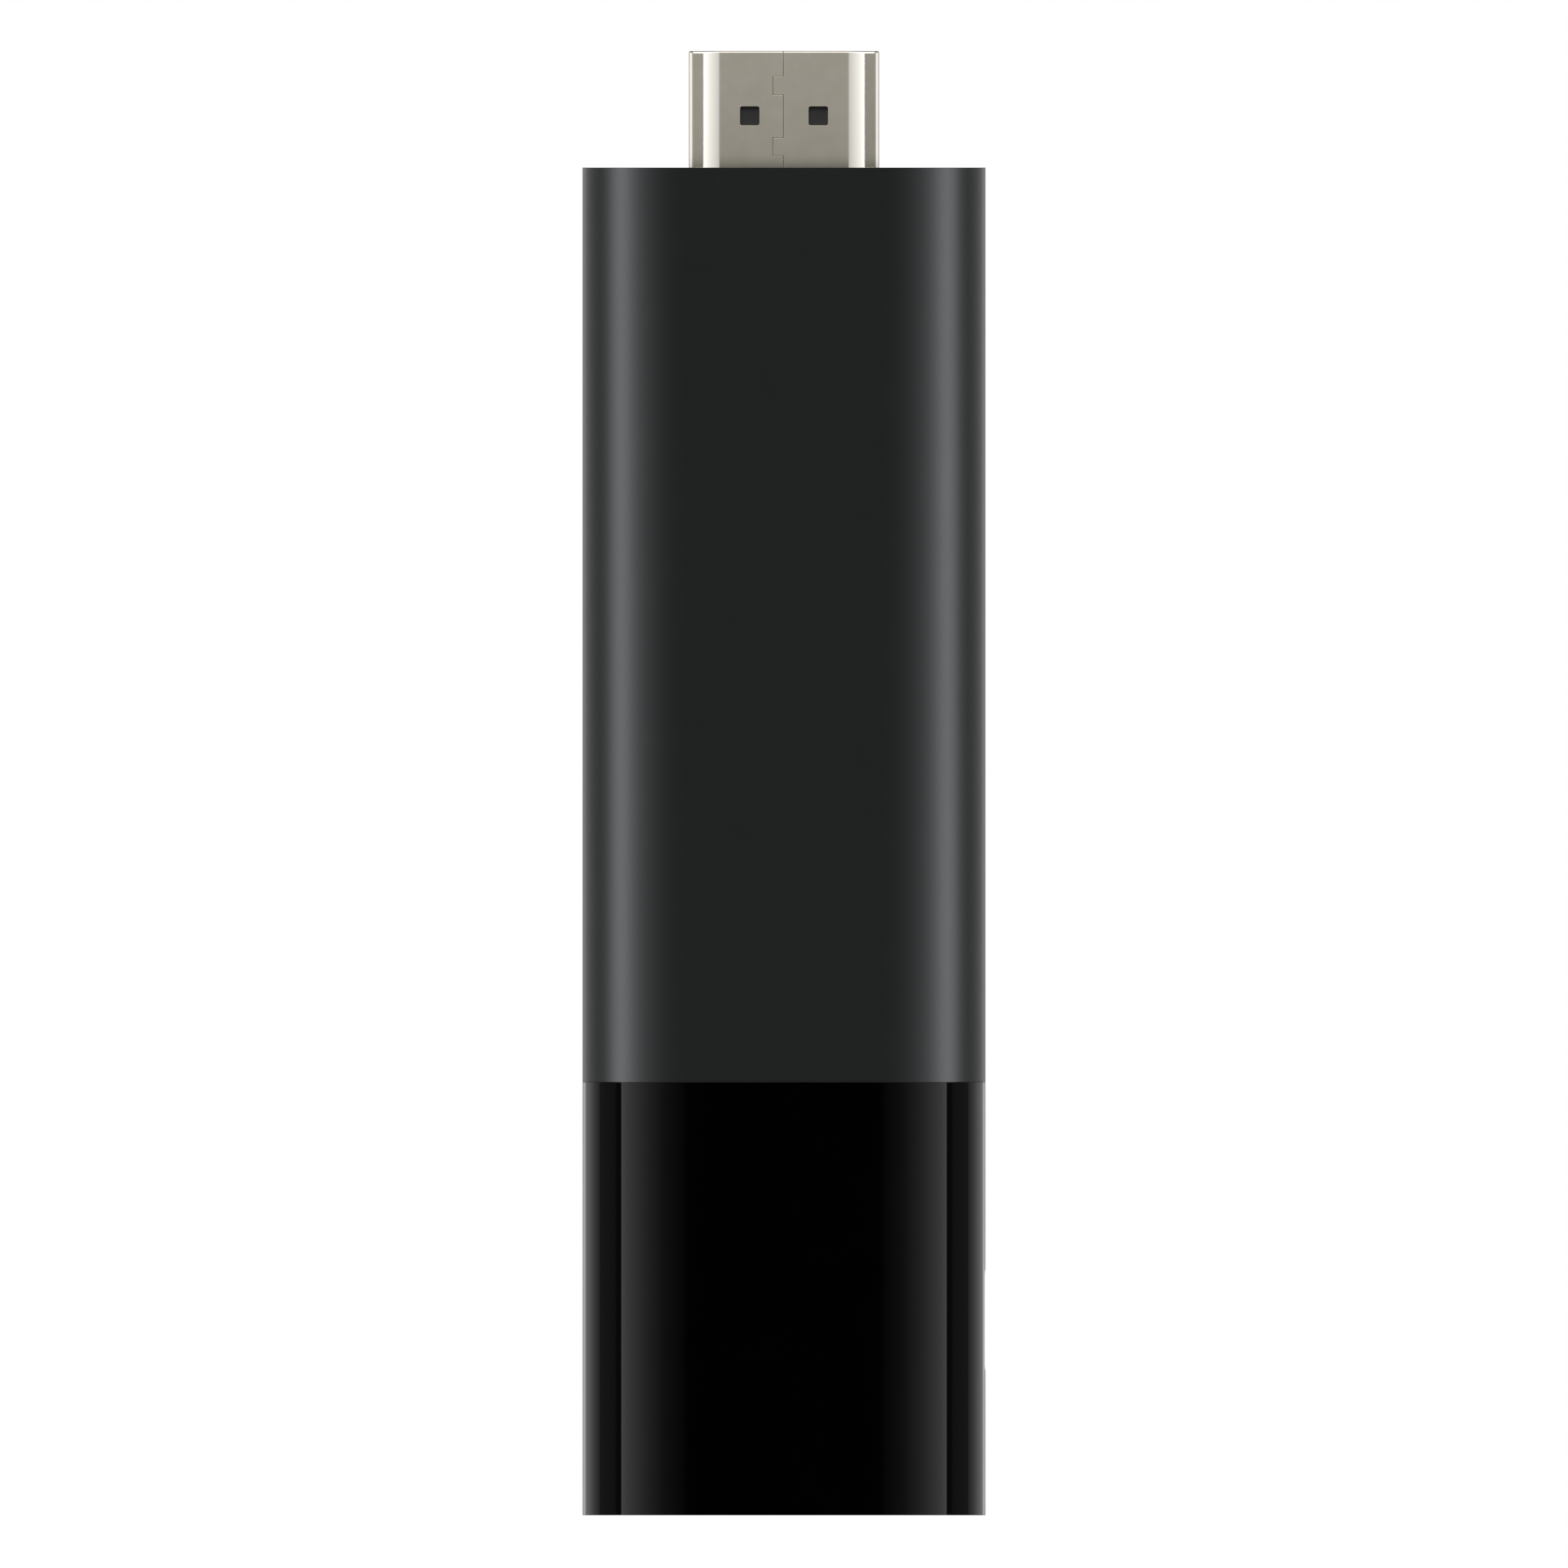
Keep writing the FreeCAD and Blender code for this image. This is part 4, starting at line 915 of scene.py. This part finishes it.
OVERHEAD = ((0, 1.2), (80, 1.2), (100, 0.45), (180, 0.45))
UNDERFOOT = (
    (0, 0.2), (40, 0.35), (62, 0.5), (74, 1.5), (84, 1.8), (92, 0.6), (100, 0.15), (180, 0.15),
)
BRIGHTEST = 7.0

# How steeply a mirrored ray rises or falls, as the Z of its direction, where the first of these
# surroundings give way to the second, and those to the last two
OFF_LEVEL = (0.05, 0.1)
STEEP = (0.35, 0.5)

# Light that matt surfaces get, the lamp, and the floor
SOFT_LIGHT = 0.45
LAMP_STRENGTH = 2.7
LAMP_WIDTH = math.radians(30)
LAMP_TURN = (math.radians(48), 0, math.radians(-8))
FLOOR_HALF_SIZE = 1.0
FLOOR_DROP = 0.1 * MM
FLOOR_COLOUR = (0.97, 0.97, 0.97, 1)
WHITE = (1, 1, 1, 1)


class Surroundings:
    """A world of light in the making, told by the direction in which a ray meets it."""

    def __init__(self, name):
        world = bpy.data.worlds.new(name)
        bpy.context.scene.world = world
        world.use_nodes = True
        world.cycles.sampling_method = "NONE"
        self.tree = world.node_tree
        self.tree.nodes.clear()
        split = self.tree.nodes.new("ShaderNodeSeparateXYZ")
        direction = self.tree.nodes.new("ShaderNodeTexCoord").outputs["Generated"]
        self.tree.links.new(direction, split.inputs[0])
        x, y, self.rise = split.outputs
        self.fall = self.result("MULTIPLY", self.rise, -1.0)
        angle = self.result("ARCTAN2", self.result("ABSOLUTE", x), self.result("MULTIPLY", y, -1.0))
        self.way_round = self.result("DIVIDE", angle, HALF_TURN)

    def node(self, kind, *sources, **settings):
        """The first output of a new node, whose inputs are values or other nodes' outputs."""
        made = self.tree.nodes.new(kind)
        for name, value in settings.items():
            setattr(made, name, value)
        for socket, source in zip(made.inputs, sources):
            if isinstance(source, bpy.types.NodeSocket):
                self.tree.links.new(source, socket)
            else:
                socket.default_value = source
        return made.outputs[0]

    def result(self, operation, *sources):
        """The result of some arithmetic."""
        return self.node("ShaderNodeMath", *sources, operation=operation)

    def between(self, amount, start, end):
        """Zero up to a start, one from an end on, and even steps in between."""
        return self.node("ShaderNodeMapRange", amount, start, end)

    def light(self, colour, strength):
        """Light of a colour and a strength."""
        return self.node("ShaderNodeBackground", colour, strength)

    def mix(self, share, first, second):
        """Light between two, all of the second where the share is one."""
        return self.node("ShaderNodeMixShader", share, first, second)

    def ring_of_light(self, levels):
        """Light that changes on the way round from the camera's side to the far side."""
        ramp = self.tree.nodes.new("ShaderNodeValToRGB")
        self.tree.links.new(self.way_round, ramp.inputs[0])
        stops = ramp.color_ramp.elements
        while len(stops) < len(levels):
            stops.new(0.5)
        for stop, (degrees, level) in zip(stops, levels):
            stop.position = degrees / 180
            stop.color = (*[level / BRIGHTEST] * 3, 1)
        return self.light(ramp.outputs["Color"], BRIGHTEST)

    def show(self, light):
        """Make this the light of the world."""
        output = self.tree.nodes.new("ShaderNodeOutputWorld")
        self.tree.links.new(light, output.inputs["Surface"])


def make_world():
    """White to the camera, even light on matt surfaces, and a studio for glossy ones to mirror."""
    world = Surroundings("studio")
    off_level = world.between(world.result("ABSOLUTE", world.rise), *OFF_LEVEL)
    upwards = world.between(world.rise, *STEEP)
    downwards = world.between(world.fall, *STEEP)
    level_with_it = world.ring_of_light(LEVEL_WITH_IT)
    mirrored = world.mix(off_level, level_with_it, world.ring_of_light(ABOVE_AND_BELOW))
    mirrored = world.mix(upwards, mirrored, world.ring_of_light(OVERHEAD))
    mirrored = world.mix(downwards, mirrored, world.ring_of_light(UNDERFOOT))
    soft = world.light(WHITE, SOFT_LIGHT)
    white = world.light(WHITE, 1.0)
    ray = world.tree.nodes.new("ShaderNodeLightPath").outputs
    lighting = world.mix(ray["Is Glossy Ray"], soft, mirrored)
    seen = world.result("MAXIMUM", ray["Is Camera Ray"], ray["Is Transmission Ray"])
    world.show(world.mix(seen, lighting, white))


def make_lamp():
    """A broad soft lamp high up and a little left of the camera, for the floor's shadow."""
    light = bpy.data.lights.new("soft_lamp", "SUN")
    light.energy = LAMP_STRENGTH
    light.angle = LAMP_WIDTH
    lamp = bpy.data.objects.new("soft_lamp", light)
    bpy.context.scene.collection.objects.link(lamp)
    lamp.rotation_euler = LAMP_TURN
    lamp.visible_glossy = False


def make_floor():
    """A pale floor that keeps the object's shadow and is clear from below."""
    bm = bmesh.new()
    bmesh.ops.create_grid(bm, x_segments=2, y_segments=2, size=FLOOR_HALF_SIZE)
    mesh = bpy.data.meshes.new("floor")
    bm.to_mesh(mesh)
    bm.free()
    floor = bpy.data.objects.new("floor", mesh)
    bpy.context.scene.collection.objects.link(floor)
    floor.location.z = -FLOOR_DROP
    floor.visible_glossy = False
    floor.visible_diffuse = False
    paint = bpy.data.materials.new("floor_paint")
    paint.use_nodes = True
    tree = paint.node_tree
    tree.nodes.clear()
    matt = tree.nodes.new("ShaderNodeBsdfDiffuse")
    matt.inputs["Color"].default_value = FLOOR_COLOUR
    clear = tree.nodes.new("ShaderNodeBsdfTransparent")
    side = tree.nodes.new("ShaderNodeNewGeometry")
    mix = tree.nodes.new("ShaderNodeMixShader")
    output = tree.nodes.new("ShaderNodeOutputMaterial")
    tree.links.new(side.outputs["Backfacing"], mix.inputs[0])
    tree.links.new(matt.outputs[0], mix.inputs[1])
    tree.links.new(clear.outputs[0], mix.inputs[2])
    tree.links.new(mix.outputs[0], output.inputs["Surface"])
    mesh.materials.append(paint)


def make_camera():
    """Straight on from the front, with the object as large and as high as in the photograph."""
    metres_per_px = PLUG_TIP / (CAP_END_PX - PLUG_TIP_PX)
    camera_data = bpy.data.cameras.new("camera")
    camera_data.type = "ORTHO"
    camera_data.ortho_scale = PHOTO_SIDE_PX * metres_per_px
    camera = bpy.data.objects.new("camera", camera_data)
    bpy.context.scene.collection.objects.link(camera)
    camera.location = (0, -CAMERA_AWAY, (CAP_END_PX - PHOTO_SIDE_PX / 2) * metres_per_px)
    camera.rotation_euler = (QUARTER_TURN, 0, 0)
    bpy.context.scene.camera = camera


make_camera()
dress([make_sleeve(), make_end_cap(), make_plug_shell()])
make_world()
make_lamp()
make_floor()
bpy.context.scene.view_settings.view_transform = "Standard"
